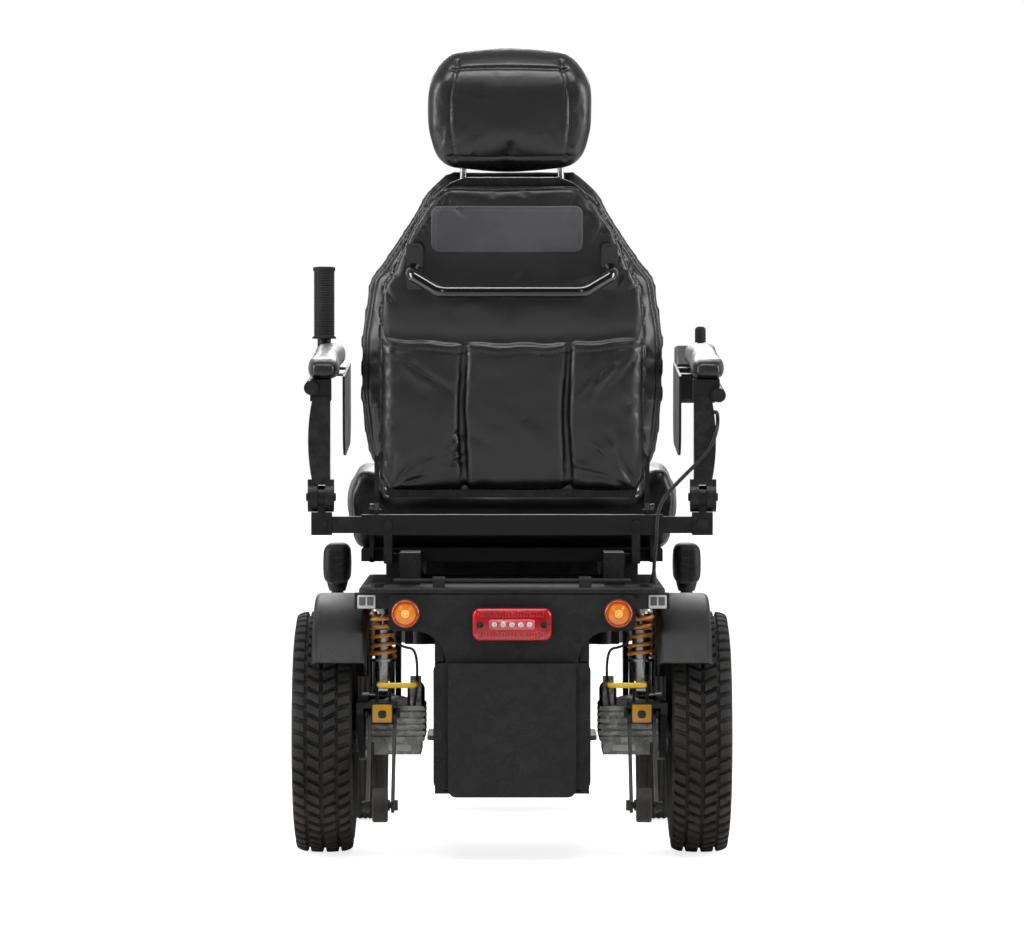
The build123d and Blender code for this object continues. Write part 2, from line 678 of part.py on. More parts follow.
def caster_fork():
    outer_half = fork_inner_half + fork_leg
    crown_z = (crown_top_z - fork_crown, crown_top_z)
    with BuildPart() as fork:
        for leg_x in ((caster_x - outer_half, caster_x - fork_inner_half),
                      (caster_x + fork_inner_half, caster_x + outer_half)):
            side_link(leg_x, [(caster_y, caster_z, 16), (swivel_y - 22, crown_top_z - 6, 6),
                              (swivel_y + 14, crown_top_z - 6, 6)])
        block(span_about(caster_x, 2 * outer_half), (swivel_y - 26, swivel_y + 20), crown_z)
        rod_z(housing_radius - 2, caster_x, swivel_y, crown_z)
        rod_z(swivel_stem_radius, caster_x, swivel_y, (crown_top_z - 1, housing_z[1] - 2))
        rod_x(caster_axle_radius, span_about(caster_x, 2 * outer_half + 10), caster_y, caster_z)
        for head_x in ((caster_x - outer_half - 6, caster_x - outer_half), (caster_x + outer_half, caster_x + outer_half + 6)):
            rod_x(bolt_head_radius + 1, head_x, caster_y, caster_z)
    return fork.part


def caster_wheel():
    with BuildPart() as wheel:
        rod_x(caster_radius, span_about(caster_x, caster_width), caster_y, caster_z)
        fillet(wheel.edges(), 15)
        rod_x(caster_hub_radius + lens_gap, span_about(caster_x, caster_width + 2), caster_y, caster_z, Mode.SUBTRACT)
        rod_x(caster_hub_radius, span_about(caster_x, caster_width - 12), caster_y, caster_z)
        for face_x in ((caster_x - caster_width / 2, caster_x - 12), (caster_x + 12, caster_x + caster_width / 2)):
            rod_x(caster_hub_radius - 10, face_x, caster_y, caster_z, Mode.SUBTRACT)
        rod_x(20, span_about(caster_x, caster_width + 4), caster_y, caster_z)
        rod_x(caster_axle_radius + running_fit, span_about(caster_x, caster_width + 8), caster_y, caster_z, Mode.SUBTRACT)
    return wheel.part


save_pair(caster_fork(), "caster_fork")
save_pair(caster_wheel(), "caster_wheel")

# ---- seat frame: rails, pan, backrest hinges, legrest socket ----
seat_rail_x = (135.0, 165.0)
seat_rail_y = (axle_y - 60, axle_y + 490)
pan_half_width = 225.0
pan_sheet = 3.0
pan_rim_z = 427.0
apron_half_width = 200.0   # the pan's front edge is bent down as far as this
apron_bottom_z = 388.0
pan_y = (axle_y + 62, axle_y + 520)
crossbar_y = axle_y - 10.0
crossbar_z = 484.0
crossbar_size = 30.0
crossbar_bracket_x = (177.0, 189.0)
recline_y = axle_y + 30.0
recline_z = 500.0
recline_pin_radius = 6.0
hinge_x = (205.0, 211.0)
back_lug_x = (197.0, 204.0)
legrest_angle = 32.0       # from the vertical
legrest_socket = 40.0
legrest_tube = 32.0
legrest_wall = 3.0
legrest_socket_length = 110.0
legrest_start = 25.0
legrest_length = 360.0
legrest_origin = (0, axle_y + 552, 436)
legrest_dir = (0, sin(radians(legrest_angle)), -cos(radians(legrest_angle)))
legrest_plane = Plane(origin=legrest_origin, x_dir=(1, 0, 0), z_dir=legrest_dir)


def seat_frame():
    with BuildPart() as frame:
        for side in (-1, 1):
            block(sorted((side * seat_rail_x[0], side * seat_rail_x[1])), seat_rail_y, (lid_top_z, seat_pan_z - pan_sheet))
            bracket_x = sorted((side * crossbar_bracket_x[0], side * crossbar_bracket_x[1]))
            block(bracket_x, (crossbar_y - crossbar_size / 2, pan_y[0] + 1),
                  (pan_rim_z, crossbar_z - crossbar_size / 2))
            block(sorted((side * seat_rail_x[0], side * crossbar_bracket_x[1])), span_about(crossbar_y + 20, 14),
                  (pan_rim_z, pan_rim_z + 14))
            hinge = sorted((side * hinge_x[0], side * hinge_x[1]))
            side_link(hinge, [(recline_y, recline_z, 14), (recline_y - 4, pan_rim_z + 12, 12),
                              (pan_y[0] + 20, pan_rim_z + 12, 12)])
            rod_x(recline_pin_radius, sorted((side * (back_lug_x[0] - 3), side * hinge_x[1])), recline_y, recline_z)
        block((-pan_half_width, pan_half_width), pan_y, (pan_rim_z, seat_pan_z))
        block((pan_sheet - pan_half_width, pan_half_width - pan_sheet),
              (pan_y[0] + pan_sheet, pan_y[1] - pan_sheet), (pan_rim_z - 1, seat_pan_z - pan_sheet), Mode.SUBTRACT)
        block((-apron_half_width, apron_half_width), (pan_y[1] - pan_sheet, pan_y[1]), (apron_bottom_z, pan_rim_z + 1))
        for side in (-1, 1):
            block(sorted((side * seat_rail_x[0], side * seat_rail_x[1])), seat_rail_y, (lid_top_z, seat_pan_z - 1))
        block((-legrest_socket / 2, legrest_socket / 2), (pan_y[1] - 1, legrest_origin[1]), (402, seat_pan_z - 6))
        with BuildSketch(legrest_plane):
            Rectangle(legrest_socket, legrest_socket)
        extrude(amount=legrest_socket_length)
        with BuildSketch(legrest_plane.offset(-60)):
            Rectangle(legrest_tube + 2 * running_fit, legrest_tube + 2 * running_fit)
        extrude(amount=legrest_socket_length + 61, mode=Mode.SUBTRACT)
    return frame.part


# ---- legrest tube and footplate ----
foot_hinge_y = axle_y + 772.0
foot_hinge_z = 108.0
foot_pin_radius = 4.0
foot_knuckle_radius = 9.0
foot_half_width = 140.0
foot_sheet = 8.0
foot_yoke_x = 26.0
foot_knuckle_x = (28.0, 60.0)


def legrest():
    with BuildPart() as tube:
        with BuildSketch(legrest_plane.offset(legrest_start)):
            RectangleRounded(legrest_tube, legrest_tube, 4)
            Rectangle(legrest_tube - 2 * legrest_wall, legrest_tube - 2 * legrest_wall, mode=Mode.SUBTRACT)
        extrude(amount=legrest_length)
        end = legrest_plane.from_local_coords((0, 0, legrest_start + legrest_length))
        block((-foot_yoke_x, foot_yoke_x), (end.Y - 16, foot_hinge_y), (foot_hinge_z - 8, end.Z + 14))
        rod_x(foot_knuckle_radius, (-foot_yoke_x, foot_yoke_x), foot_hinge_y, foot_hinge_z)
        rod_x(foot_pin_radius, (-foot_knuckle_x[1] - 3, foot_knuckle_x[1] + 3), foot_hinge_y, foot_hinge_z)
    return tube.part


def footplate():
    with BuildPart() as plate:
        block((-foot_half_width, foot_half_width), (foot_hinge_y + foot_knuckle_radius + 4, axle_y + front_reach),
              span_about(foot_hinge_z, foot_sheet))
        fillet(plate.edges().filter_by(Axis.Z), 18)
        for side in (-1, 1):
            knuckle = sorted((side * foot_knuckle_x[0], side * foot_knuckle_x[1]))
            rod_x(foot_knuckle_radius, knuckle, foot_hinge_y, foot_hinge_z)
            block(knuckle, (foot_hinge_y, foot_hinge_y + foot_knuckle_radius + 6), span_about(foot_hinge_z, foot_sheet))
            rod_x(foot_pin_radius + running_fit, sorted((side * (foot_knuckle_x[0] - 1), side * (foot_knuckle_x[1] + 1))),
                  foot_hinge_y, foot_hinge_z, Mode.SUBTRACT)
    return plate.part


# ---- seat cushion ----
cushion_y = (axle_y + 128, axle_y + 128 + seat_depth)
cushion_centre_z = 525.0
bolster_top_z = 572.0
bolster_width = 46.0


def seat_cushion():
    bottom_z = seat_pan_z + seat_gap
    inner = seat_half_width - bolster_width
    with BuildPart() as cushion:
        with BuildSketch(Plane.XZ.offset(-cushion_y[0])):
            with BuildLine():
                Polyline((0, bottom_z), (seat_half_width, bottom_z), (seat_half_width, bolster_top_z),
                         (inner, bolster_top_z), (inner - 34, cushion_centre_z), (0, cushion_centre_z))
                mirror(about=Plane.YZ)
            make_face()
        extrude(amount=cushion_y[0] - cushion_y[1])
        fillet(cushion.edges().filter_by(Axis.Y).group_by(Axis.Z)[-1], 12)
        fillet(cushion.faces().sort_by(Axis.Y)[-1].edges().sort_by(Axis.Z)[-1:], 6)
    return cushion.part


save(seat_frame(), "seat_frame")
save(legrest(), "legrest")
save(footplate(), "footplate")
save(seat_cushion(), "seat_cushion")

# ---- backrest: steel plate between a front cushion and a rear panel ----
back_lean = 8.0
lean = radians(back_lean)
back_plane = Plane(origin=(0, recline_y, recline_z), x_dir=(1, 0, 0), z_dir=(0, -cos(lean), -sin(lean)))
back_plate = 7.0
back_plate_half = back_plate / 2
cushion_depth = 84.0
panel_depth = 26.0
back_bottom = 24.0
back_top = 503.0
# the outline's half widths at heights up the backrest
cushion_outline = [(203, back_bottom), (225, 72), (232, 104), (238, 165), (238, 262), (231, 301), (222, 359),
                   (201, 368), (160, 436), (131, 478), (89, back_top)]
panel_outline = [(196, back_bottom), (208, 60), (208, 300), (203, 345), (186, 367), (160, 428), (131, 470),
                 (104, 492), (84, back_top - 3)]
plate_inset = 14.0
lug_neck_up = 16.0
lug_top_up = 84.0
lug_half = 3.0
post_spread = 72.0
headrest_post_radius = 5.0
post_depth_back = -34.0      # the posts' place in front of the steel plate
post_low = 372.0
sleeve_low = 362.0


def back_slab(outline, depth_from, depth_to, inset=0.0):
    points = [(half - inset, up) for half, up in outline]
    with BuildSketch(back_plane.offset(depth_from)) as slab:
        with BuildLine():
            Polyline((0, points[0][1]), points[0])
            Polyline(*points)
            Polyline(points[-1], (0, points[-1][1]))
            mirror(about=Plane.YZ)
        make_face()
    extrude(slab.sketch, amount=depth_to - depth_from)


def on_back(x, up, out):
    return back_plane.from_local_coords((x, up, out))


def post_bore(side, radius, low, high, mode):
    foot = Plane(origin=on_back(side * post_spread, low, post_depth_back), x_dir=(1, 0, 0), z_dir=back_plane.y_dir)
    with BuildSketch(foot) as ring:
        Circle(radius)
    extrude(ring.sketch, amount=high - low, mode=mode)


def backrest_frame():
    with BuildPart() as frame:
        back_slab(panel_outline, -back_plate_half, back_plate_half, plate_inset)
        for side in (-1, 1):
            lug = sorted((side * back_lug_x[0], side * back_lug_x[1]))
            neck = on_back(0, lug_neck_up, 0)
            side_link(lug, [(recline_y, recline_z, 12), (neck.Y, neck.Z, lug_half - 0.5)])
            with BuildSketch(back_plane.offset(-lug_half)) as strap:
                with Locations((sum(lug) / 2, (lug_neck_up + lug_top_up) / 2)):
                    Rectangle(lug[1] - lug[0], lug_top_up - lug_neck_up + 4)
                with Locations((side * (back_lug_x[1] - 12), lug_top_up - 8)):
                    Rectangle(24, 20)
            extrude(strap.sketch, amount=2 * lug_half)
            rod_x(recline_pin_radius + running_fit, sorted((side * (back_lug_x[0] - 1), side * (back_lug_x[1] + 1))),
                  recline_y, recline_z, Mode.SUBTRACT)
    return frame.part


def backrest_cushion():
    with BuildPart() as cushion:
        back_slab(cushion_outline, -cushion_depth, -back_plate_half - seat_gap)
        for side in (-1, 1):
            post_bore(side, headrest_post_radius + 2 * running_fit, sleeve_low, back_top + 5, Mode.SUBTRACT)
    return cushion.part


def back_panel():
    with BuildPart() as panel:
        back_slab(panel_outline, back_plate_half + seat_gap, panel_depth)
    return panel.part


save(backrest_frame(), "backrest_frame")
save(backrest_cushion(), "backrest_cushion")
save(back_panel(), "back_panel")

# ---- push handle ----
handle_radius = 9.5
handle_bracket_x = (131.0, 155.0)
handle_bracket_up = (338.0, 406.0)
handle_bracket = 6.0
handle_bar_out = 90.0
handle_bar_up = 342.0
handle_bolt_up = 396.0


def push_handle():
    face = panel_depth + seat_gap
    side_x = sum(handle_bracket_x) / 2
    bar_half = 104.0
    shoulder = [(side_x, 368, face + 2), (side_x + 4, 364, face + 34), (bar_half, handle_bar_up, handle_bar_out)]
    right = [on_back(*point) for point in shoulder]
    left = [on_back(-x, up, out) for x, up, out in reversed(shoulder)]
    with BuildPart() as handle:
        tube_along(right + left, [14, 24, 24, 14], handle_radius)
        for side in (-1, 1):
            with BuildSketch(back_plane.offset(face)):
                with Locations((side * side_x, sum(handle_bracket_up) / 2)):
                    RectangleRounded(handle_bracket_x[1] - handle_bracket_x[0],
                                     handle_bracket_up[1] - handle_bracket_up[0], 6)
            extrude(amount=handle_bracket)
            with BuildSketch(back_plane.offset(face + handle_bracket)):
                with Locations((side * side_x, handle_bolt_up)):
                    RegularPolygon(6.5, 6)
            extrude(amount=4)
        with BuildSketch(back_plane.offset(-30)):
            with Locations((0, 370)):
                Rectangle(400, 200)
        extrude(amount=30 + face, mode=Mode.SUBTRACT)
    return handle.part


# ---- headrest ----
headrest_up = (517.0, 677.0)
headrest_half = 120.0
headrest_depth = (-72.0, 34.0)


def headrest_pad():
    with BuildPart() as pad:
        with BuildSketch(back_plane.offset(headrest_depth[0])):
            with Locations((0, sum(headrest_up) / 2)):
                RectangleRounded(2 * headrest_half, headrest_up[1] - headrest_up[0], 24)
        extrude(amount=headrest_depth[1] - headrest_depth[0])
        depth_faces = pad.faces().sort_by(Axis(back_plane.origin, back_plane.z_dir))
        fillet(depth_faces[0].edges() + depth_faces[-1].edges(), 18)
        for side in (-1, 1):
            post_bore(side, headrest_post_radius + lens_gap, headrest_up[0] - 5, headrest_up[0] + 62, Mode.SUBTRACT)
    return pad.part


def headrest_posts():
    with BuildPart() as posts:
        for side in (-1, 1):
            post_bore(side, headrest_post_radius, post_low, headrest_up[0] + 60, Mode.ADD)
    return posts.part


save(push_handle(), "push_handle")
save(headrest_pad(), "headrest_pad")
save(headrest_posts(), "headrest_posts")

# ---- armrest crossbar with its two inner tubes ----
crossbar_half = 222.0
crossbar_wall = 2.5
inner_tube_end = post_x + 12
inner_tube_start = 150.0
arm_hinge_z = 525.0
arm_pin_radius = 6.0
barrel_radius = 17.0
barrel_x = span_about(post_x, 11)
knuckle_radius = 22.0
elbow_x = (266.0, 296.0)   # the solid corner at each end of the crossbar
elbow_gap = 0.6
knuckle_x = ((post_x - 18, barrel_x[0] - 0.3), (barrel_x[1] + 0.3, post_x + 20))


def arm_crossbar():
    bore = crossbar_size - 2 * crossbar_wall
    tube = bore - 2 * running_fit
    knob_radius = 7.0
    with BuildPart() as bar:
        block((-crossbar_half, crossbar_half), span_about(crossbar_y, crossbar_size), span_about(crossbar_z, crossbar_size))
        block((-crossbar_half - 1, crossbar_half + 1), span_about(crossbar_y, bore), span_about(crossbar_z, bore), Mode.SUBTRACT)
        for side in (-1, 1):
            rod_y(knob_radius, side * sum(crossbar_bracket_x) / 2,
                  (crossbar_y - crossbar_size / 2 - 8, crossbar_y - crossbar_size / 2), crossbar_z)
            block(sorted((side * inner_tube_start, side * inner_tube_end)), span_about(crossbar_y, tube), span_about(crossbar_z, tube))
            block(sorted((side * barrel_x[0], side * barrel_x[1])), span_about(crossbar_y, tube), (crossbar_z, arm_hinge_z))
            rod_x(barrel_radius, sorted((side * barrel_x[0], side * barrel_x[1])), crossbar_y, arm_hinge_z)
            rod_x(arm_pin_radius, sorted((side * (knuckle_x[0][0] - 3), side * (knuckle_x[1][1] + 3))), crossbar_y, arm_hinge_z)
            block(sorted((side * elbow_x[0], side * elbow_x[1])), span_about(crossbar_y, crossbar_size),
                  (crossbar_z - crossbar_size / 2, arm_hinge_z - knuckle_radius - elbow_gap))
            rod_y(bolt_head_radius, side * post_x, (crossbar_y - crossbar_size / 2 - 4, crossbar_y - crossbar_size / 2),
                  crossbar_z + 1)
    return bar.part


# ---- armrests, laid out in a plane that rises gently forward ----
arm_tilt = 4.5
tilt = radians(arm_tilt)
arm_back_y = crossbar_y - 30
pad_bottom_z = 697.0
pad_length = 350.0
pad_height = 33.0
arm_tube_radius = 10.5
post_depth = 30.0
post_width = 25.0
post_bottom_z = arm_hinge_z + barrel_radius + 1
arm_plane = Plane(origin=(0, arm_back_y, pad_bottom_z), x_dir=(1, 0, 0), z_dir=(0, -sin(tilt), cos(tilt)))
# the side, the pad's inner and outer edges, and the tube's place, below the pad
right_arm = {"side": 1, "pad": (261.0, 316.0), "tube_x": 304.0, "tube_drop": 22.0}
left_arm = {"side": -1, "pad": (252.5, 304.0), "tube_x": 295.5, "tube_drop": 11.2}


def on_arm(x, ahead, up):
    return arm_plane.from_local_coords((x, ahead, up))


def arm_block(x_span, ahead_span, up_span, mode=Mode.ADD):
    with BuildSketch(arm_plane.offset(up_span[0])) as base:
        with Locations((sum(x_span) / 2, sum(ahead_span) / 2)):
            Rectangle(x_span[1] - x_span[0], ahead_span[1] - ahead_span[0])
    extrude(base.sketch, amount=up_span[1] - up_span[0], mode=mode)


def arm_frame(arm, route_end):
    side = arm["side"]
    tube_x = side * arm["tube_x"]
    bow = 7.0
    head_z = pad_bottom_z - 24
    outer = post_x + post_width / 2
    inner = post_x - post_width / 2
    with BuildPart() as frame:
        for knuckle in knuckle_x:
            rod_x(knuckle_radius, sorted((side * knuckle[0], side * knuckle[1])), crossbar_y, arm_hinge_z)
        with BuildSketch(Plane.XZ.offset(post_depth / 2 - crossbar_y)):
            with BuildLine():
                Polyline((side * inner, head_z), (side * inner, post_bottom_z), (side * outer, post_bottom_z))
                ThreePointArc((side * outer, post_bottom_z), (side * (outer + bow), (post_bottom_z + head_z) / 2),
                              (side * outer, head_z))
                Line((side * outer, head_z), (side * inner, head_z))
            make_face()
        extrude(amount=-post_depth)
        for knuckle in knuckle_x:
            block(sorted((side * knuckle[0], side * knuckle[1])), span_about(crossbar_y, post_depth),
                  (arm_hinge_z, post_bottom_z + 8))
        arm_block(sorted((side * (post_x - 14), side * (arm["tube_x"] + 2))), (15, 47), (-32, 0))
        tube_along([on_arm(tube_x, 0, -arm["tube_drop"]), *route_end], [38] * (len(route_end) - 1), arm_tube_radius)
        arm_block(sorted((side * (arm["pad"][0] + 12), side * arm["tube_x"])), (270, 305), (-arm["tube_drop"], 0))
        rod_x(arm_pin_radius + running_fit, sorted((side * knuckle_x[0][0], side * knuckle_x[1][1])),
              crossbar_y, arm_hinge_z, Mode.SUBTRACT)
        rod_x(barrel_radius + 0.8, sorted((side * (barrel_x[0] - 0.3), side * (barrel_x[1] + 0.3))),
              crossbar_y, arm_hinge_z, Mode.SUBTRACT)
    return frame.part


def arm_pad(arm):
    edges = sorted((arm["side"] * arm["pad"][0], arm["side"] * arm["pad"][1]))
    with BuildPart() as pad:
        arm_block(edges, (0, pad_length), (seat_gap, pad_height))
        fillet(pad.edges().filter_by(GeomType.LINE).group_by(Axis.Z)[-1], 8)
    return pad.part


guard_x = (248.5, 252.0)
guard_ahead = (80.0, 345.0)
guard_drop = 122.0
guard_corner = 42.0


def side_guard(arm):
    side = arm["side"]
    plate = sorted((side * guard_x[0], side * guard_x[1]))
    with BuildPart() as guard:
        arm_block(plate, guard_ahead, (-guard_drop, 0))
        fillet(guard.edges().filter_by(Axis.X).sort_by(Axis.Z)[:2], guard_corner)
        for tab in (120.0, 240.0):
            arm_block(sorted((side * guard_x[0], side * (arm["pad"][0] + 11))), (tab, tab + 22), (-3, 0))
    return guard.part


grip_x = 291.0
grip_ahead = 384.0
grip_z = (761.0, 873.0)
grip_radius = 16.5


def hand_grip():
    grip_y = on_arm(0, grip_ahead, -left_arm["tube_drop"]).Y
    with BuildPart() as grip:
        rod_z(grip_radius, -grip_x, grip_y, grip_z)
        for flange in ((grip_z[0], grip_z[0] + 4), (grip_z[1] - 4, grip_z[1])):
            rod_z(grip_radius + 2, -grip_x, grip_y, flange)
        rod_z(arm_tube_radius + lens_gap, -grip_x, grip_y, (grip_z[0] - 1, grip_z[1] - 5), Mode.SUBTRACT)
    return grip.part


# ---- joystick box, stick and buttons ----
box_x = (254.0, 316.0)
box_ahead = 357.0
box_back_y = on_arm(0, box_ahead, 0).Y
box_bottom_z = 662.0
box_front_y = box_back_y + 104
slope_low = (box_back_y, 722.0)
slope_high = (box_back_y + 58, 751.0)
box_top_z = slope_high[1]
stick_x = 294.0
stick_y = box_back_y + 80
stick_pivot_z = box_top_z - 12
well_radius = 14.5
gimbal_outer = 11.0
gimbal_inner = 7.5
stick_radius = 3.5
knob_z = (756.0, 781.0)
knob_radius = 8.5
button_x = 276.0
button_radius = 4.5
button_travel = 1.0
button_pitch = 14.0
button_height = 4.0
button_count = 3
first_button_in = 16.0     # up the slope to the first button
slope_run = Vector(0, slope_high[0] - slope_low[0], slope_high[1] - slope_low[1])
slope_plane = Plane(origin=(0, *slope_low), x_dir=(1, 0, 0), z_dir=Vector(1, 0, 0).cross(slope_run))


def button_plane(index):
    return Plane(origin=slope_plane.from_local_coords((button_x, first_button_in + index * button_pitch, 0)),
                 x_dir=(1, 0, 0), z_dir=slope_plane.z_dir)


def joystick_box():
    with BuildPart() as box:
        with BuildSketch(Plane.YZ.offset(box_x[0])):
            with BuildLine():
                Polyline((box_back_y, box_bottom_z + 6), slope_low, slope_high, (box_front_y, box_top_z),
                         (box_front_y, box_bottom_z + 34), (box_back_y + 60, box_bottom_z),
                         (box_back_y + 8, box_bottom_z), close=True)
            make_face()
        extrude(amount=box_x[1] - box_x[0])
        fillet(box.faces().sort_by(Axis.X)[0].edges() + box.faces().sort_by(Axis.X)[-1].edges(), 5)
        rod_z(well_radius, stick_x, stick_y, (box_top_z - 28, box_top_z + 1), Mode.SUBTRACT)
        for pin_x in ((stick_x - well_radius - 4, stick_x - well_radius + 1),
                      (stick_x + well_radius - 1, stick_x + well_radius + 4)):
            rod_x(1.5 + running_fit, pin_x, stick_y, stick_pivot_z, Mode.SUBTRACT)
        for index in range(button_count):
            with BuildSketch(button_plane(index).offset(-button_height)):
                Circle(button_radius + running_fit)
            extrude(amount=button_height + 4, mode=Mode.SUBTRACT)
        with BuildSketch(Plane(origin=on_arm(right_arm["tube_x"], box_ahead - 10, -right_arm["tube_drop"]),
                               x_dir=(1, 0, 0), z_dir=arm_plane.y_dir)):
            Circle(arm_tube_radius + running_fit)
        extrude(amount=46, mode=Mode.SUBTRACT)
    return box.part


def joystick_button(index):
    with BuildPart() as button:
        with BuildSketch(button_plane(index).offset(button_travel + lens_gap - button_height)):
            Circle(button_radius)
        extrude(amount=button_height)
    return button.part


def gimbal_ring():
    with BuildPart() as ring:
        rod_z(gimbal_outer, stick_x, stick_y, span_about(stick_pivot_z, 5))
        rod_z(gimbal_inner, stick_x, stick_y, span_about(stick_pivot_z, 7), Mode.SUBTRACT)
        for pin_x in ((stick_x - well_radius - 3, stick_x - gimbal_outer + 1),
                      (stick_x + gimbal_outer - 1, stick_x + well_radius + 3)):
            rod_x(1.5, pin_x, stick_y, stick_pivot_z)
        rod_y(1.5 + running_fit, stick_x, span_about(stick_y, 2 * gimbal_outer + 2), stick_pivot_z, Mode.SUBTRACT)
    return ring.part


def joystick_stick():
    with BuildPart() as stick:
        with Locations((stick_x, stick_y, stick_pivot_z)):
            Sphere(5)
        rod_y(1.5, stick_x, span_about(stick_y, 2 * gimbal_outer - 1), stick_pivot_z)
        rod_z(stick_radius, stick_x, stick_y, (stick_pivot_z, knob_z[0] + 2))
        rod_z(knob_radius, stick_x, stick_y, knob_z)
        fillet(stick.edges().filter_by(GeomType.CIRCLE).sort_by(Axis.Z)[-1], 6)
    return stick.part


left_route = [on_arm(-grip_x, grip_ahead, -left_arm["tube_drop"]),
              Vector(-grip_x, on_arm(0, grip_ahead, -left_arm["tube_drop"]).Y, grip_z[1] - 6)]
right_route = [on_arm(right_arm["tube_x"], box_ahead + 30, -right_arm["tube_drop"])]

save(arm_crossbar(), "arm_crossbar")
save(arm_frame(right_arm, right_route), "arm_frame_right")
save(arm_frame(left_arm, left_route), "arm_frame_left")
save(arm_pad(right_arm), "arm_pad_right")
save(arm_pad(left_arm), "arm_pad_left")
save(side_guard(right_arm), "side_guard_right")
save(side_guard(left_arm), "side_guard_left")
save(hand_grip(), "hand_grip")
save(joystick_box(), "joystick_box")
for number in range(button_count):
    save(joystick_button(number), f"joystick_button_{number + 1}")
save(gimbal_ring(), "gimbal_ring")
save(joystick_stick(), "joystick_stick")

# ---- the joystick's lead: along the arm and down its post, then to the base ----
lead_radius = 2.8
lead_split_x = 262.0         # where the arm's part of the lead hands over to the chassis
lead_y = crossbar_y - post_depth / 2 - lead_radius - 1.2
lead_on_arm = [
    (300, box_back_y + 36, box_bottom_z),
    (300, box_back_y + 36, box_bottom_z - 24),
    (302, box_back_y, 630),
    (301, axle_y + 255, 634),
    (299, axle_y + 185, 642),
    (300, axle_y + 110, 647),
    (303, axle_y + 45, 651),
    (304, axle_y + 2, 648),
    (303, lead_y - 1, 628),
    (294, lead_y, 601),
    (280, lead_y, 583),
    (lead_split_x, lead_y, 565),
]
lead_to_base = [
    (lead_split_x, lead_y, 565),
    (240, lead_y, 543),
    (219, lead_y - 2, 519),
    (213, lead_y - 5, 490),
    (213, lead_y - 2, 458),
    (209, lead_y + 6, 428),
    (209, lead_y + 6, lid_top_z),
]


def corner_radii(points):
    # each arc is as large as the shorter of its two runs allows
    radii = []
    for before, corner, after in zip(points, points[1:], points[2:]):
        run_in = Vector(*corner) - Vector(*before)
        run_out = Vector(*after) - Vector(*corner)
        half_turn = radians(run_in.get_angle(run_out)) / 2
        radii.append(0.45 * min(run_in.length, run_out.length) * cos(half_turn) / sin(half_turn))
    return radii


def lead(points):
    radii = corner_radii(points)
    print("lead radii", [round(radius) for radius in radii])
    with BuildPart() as cable:
        tube_along(points, radii, lead_radius)
    return cable.part


save(lead(lead_on_arm), "joystick_lead_arm")
save(lead(lead_to_base), "joystick_lead_base")
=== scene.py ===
import json
import math
import random

import bmesh
import bpy
import numpy as np
from mathutils import Matrix, Vector, noise
from mathutils.bvhtree import BVHTree

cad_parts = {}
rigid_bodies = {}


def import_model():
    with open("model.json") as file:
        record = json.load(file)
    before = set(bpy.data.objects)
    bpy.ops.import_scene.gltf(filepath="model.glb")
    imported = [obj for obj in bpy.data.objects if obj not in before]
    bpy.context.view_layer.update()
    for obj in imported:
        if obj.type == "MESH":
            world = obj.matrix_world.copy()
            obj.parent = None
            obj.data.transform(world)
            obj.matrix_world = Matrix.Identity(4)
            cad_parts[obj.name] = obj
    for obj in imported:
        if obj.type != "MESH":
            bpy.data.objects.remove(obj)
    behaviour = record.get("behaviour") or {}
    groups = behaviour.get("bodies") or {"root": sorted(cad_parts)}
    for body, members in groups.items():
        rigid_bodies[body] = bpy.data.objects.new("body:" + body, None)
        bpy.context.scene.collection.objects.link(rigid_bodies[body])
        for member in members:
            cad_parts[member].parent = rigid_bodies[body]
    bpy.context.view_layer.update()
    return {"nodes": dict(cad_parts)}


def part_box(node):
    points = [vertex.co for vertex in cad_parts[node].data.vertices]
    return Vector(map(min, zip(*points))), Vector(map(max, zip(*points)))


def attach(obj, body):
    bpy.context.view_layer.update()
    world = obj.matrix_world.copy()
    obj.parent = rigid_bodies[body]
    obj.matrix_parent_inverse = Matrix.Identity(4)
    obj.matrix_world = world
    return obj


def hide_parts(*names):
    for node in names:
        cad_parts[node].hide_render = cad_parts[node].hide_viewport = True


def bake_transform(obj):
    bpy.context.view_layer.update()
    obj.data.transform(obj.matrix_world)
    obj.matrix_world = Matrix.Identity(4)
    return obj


for leftOver in list(bpy.data.objects):
    bpy.data.objects.remove(leftOver)
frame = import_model()
nodes = frame["nodes"]
print("frame loaded:", len(nodes), "CAD nodes")

# camera
camera = {
    "place": (0.0, -7.3425, 0.700),  # seven metres behind the drive axle
    "pitch": 1.084,  # degrees below level
    "lens": 166.5,  # mm, on a 36 mm sensor
}


def makeCamera(look):
    data = bpy.data.cameras.new("viewCamera")
    data.lens = look["lens"]
    data.sensor_width = 36.0
    data.clip_start = 0.1
    data.clip_end = 60.0
    eye = bpy.data.objects.new("viewCamera", data)
    eye.location = look["place"]
    eye.rotation_euler = (math.radians(90 - look["pitch"]), 0.0, 0.0)
    bpy.context.collection.objects.link(eye)
    bpy.context.scene.camera = eye
    return eye


makeCamera(camera)
print("camera placed")

# mesh helpers, all in metres and in the frame of the CAD
lean = math.radians(8.0)  # the back leans this far
backStart = Vector((0.0, -0.3125, 0.500))
armRise = math.radians(4.5)  # the armrests climb this much to the front
armStart = Vector((0.0, -0.3825, 0.697))


def onBack(across, high, out):
    # a point on the backrest: across, up along it and out to the rear
    return Vector((
        across,
        backStart.y - high * math.sin(lean) - out * math.cos(lean),
        backStart.z + high * math.cos(lean) - out * math.sin(lean),
    ))


def onArm(across, ahead, high=0.0):
    # a point on an armrest: ahead along it and high above its underside
    return Vector((
        across,
        armStart.y + ahead * math.cos(armRise) - high * math.sin(armRise),
        armStart.z + ahead * math.sin(armRise) + high * math.cos(armRise),
    ))


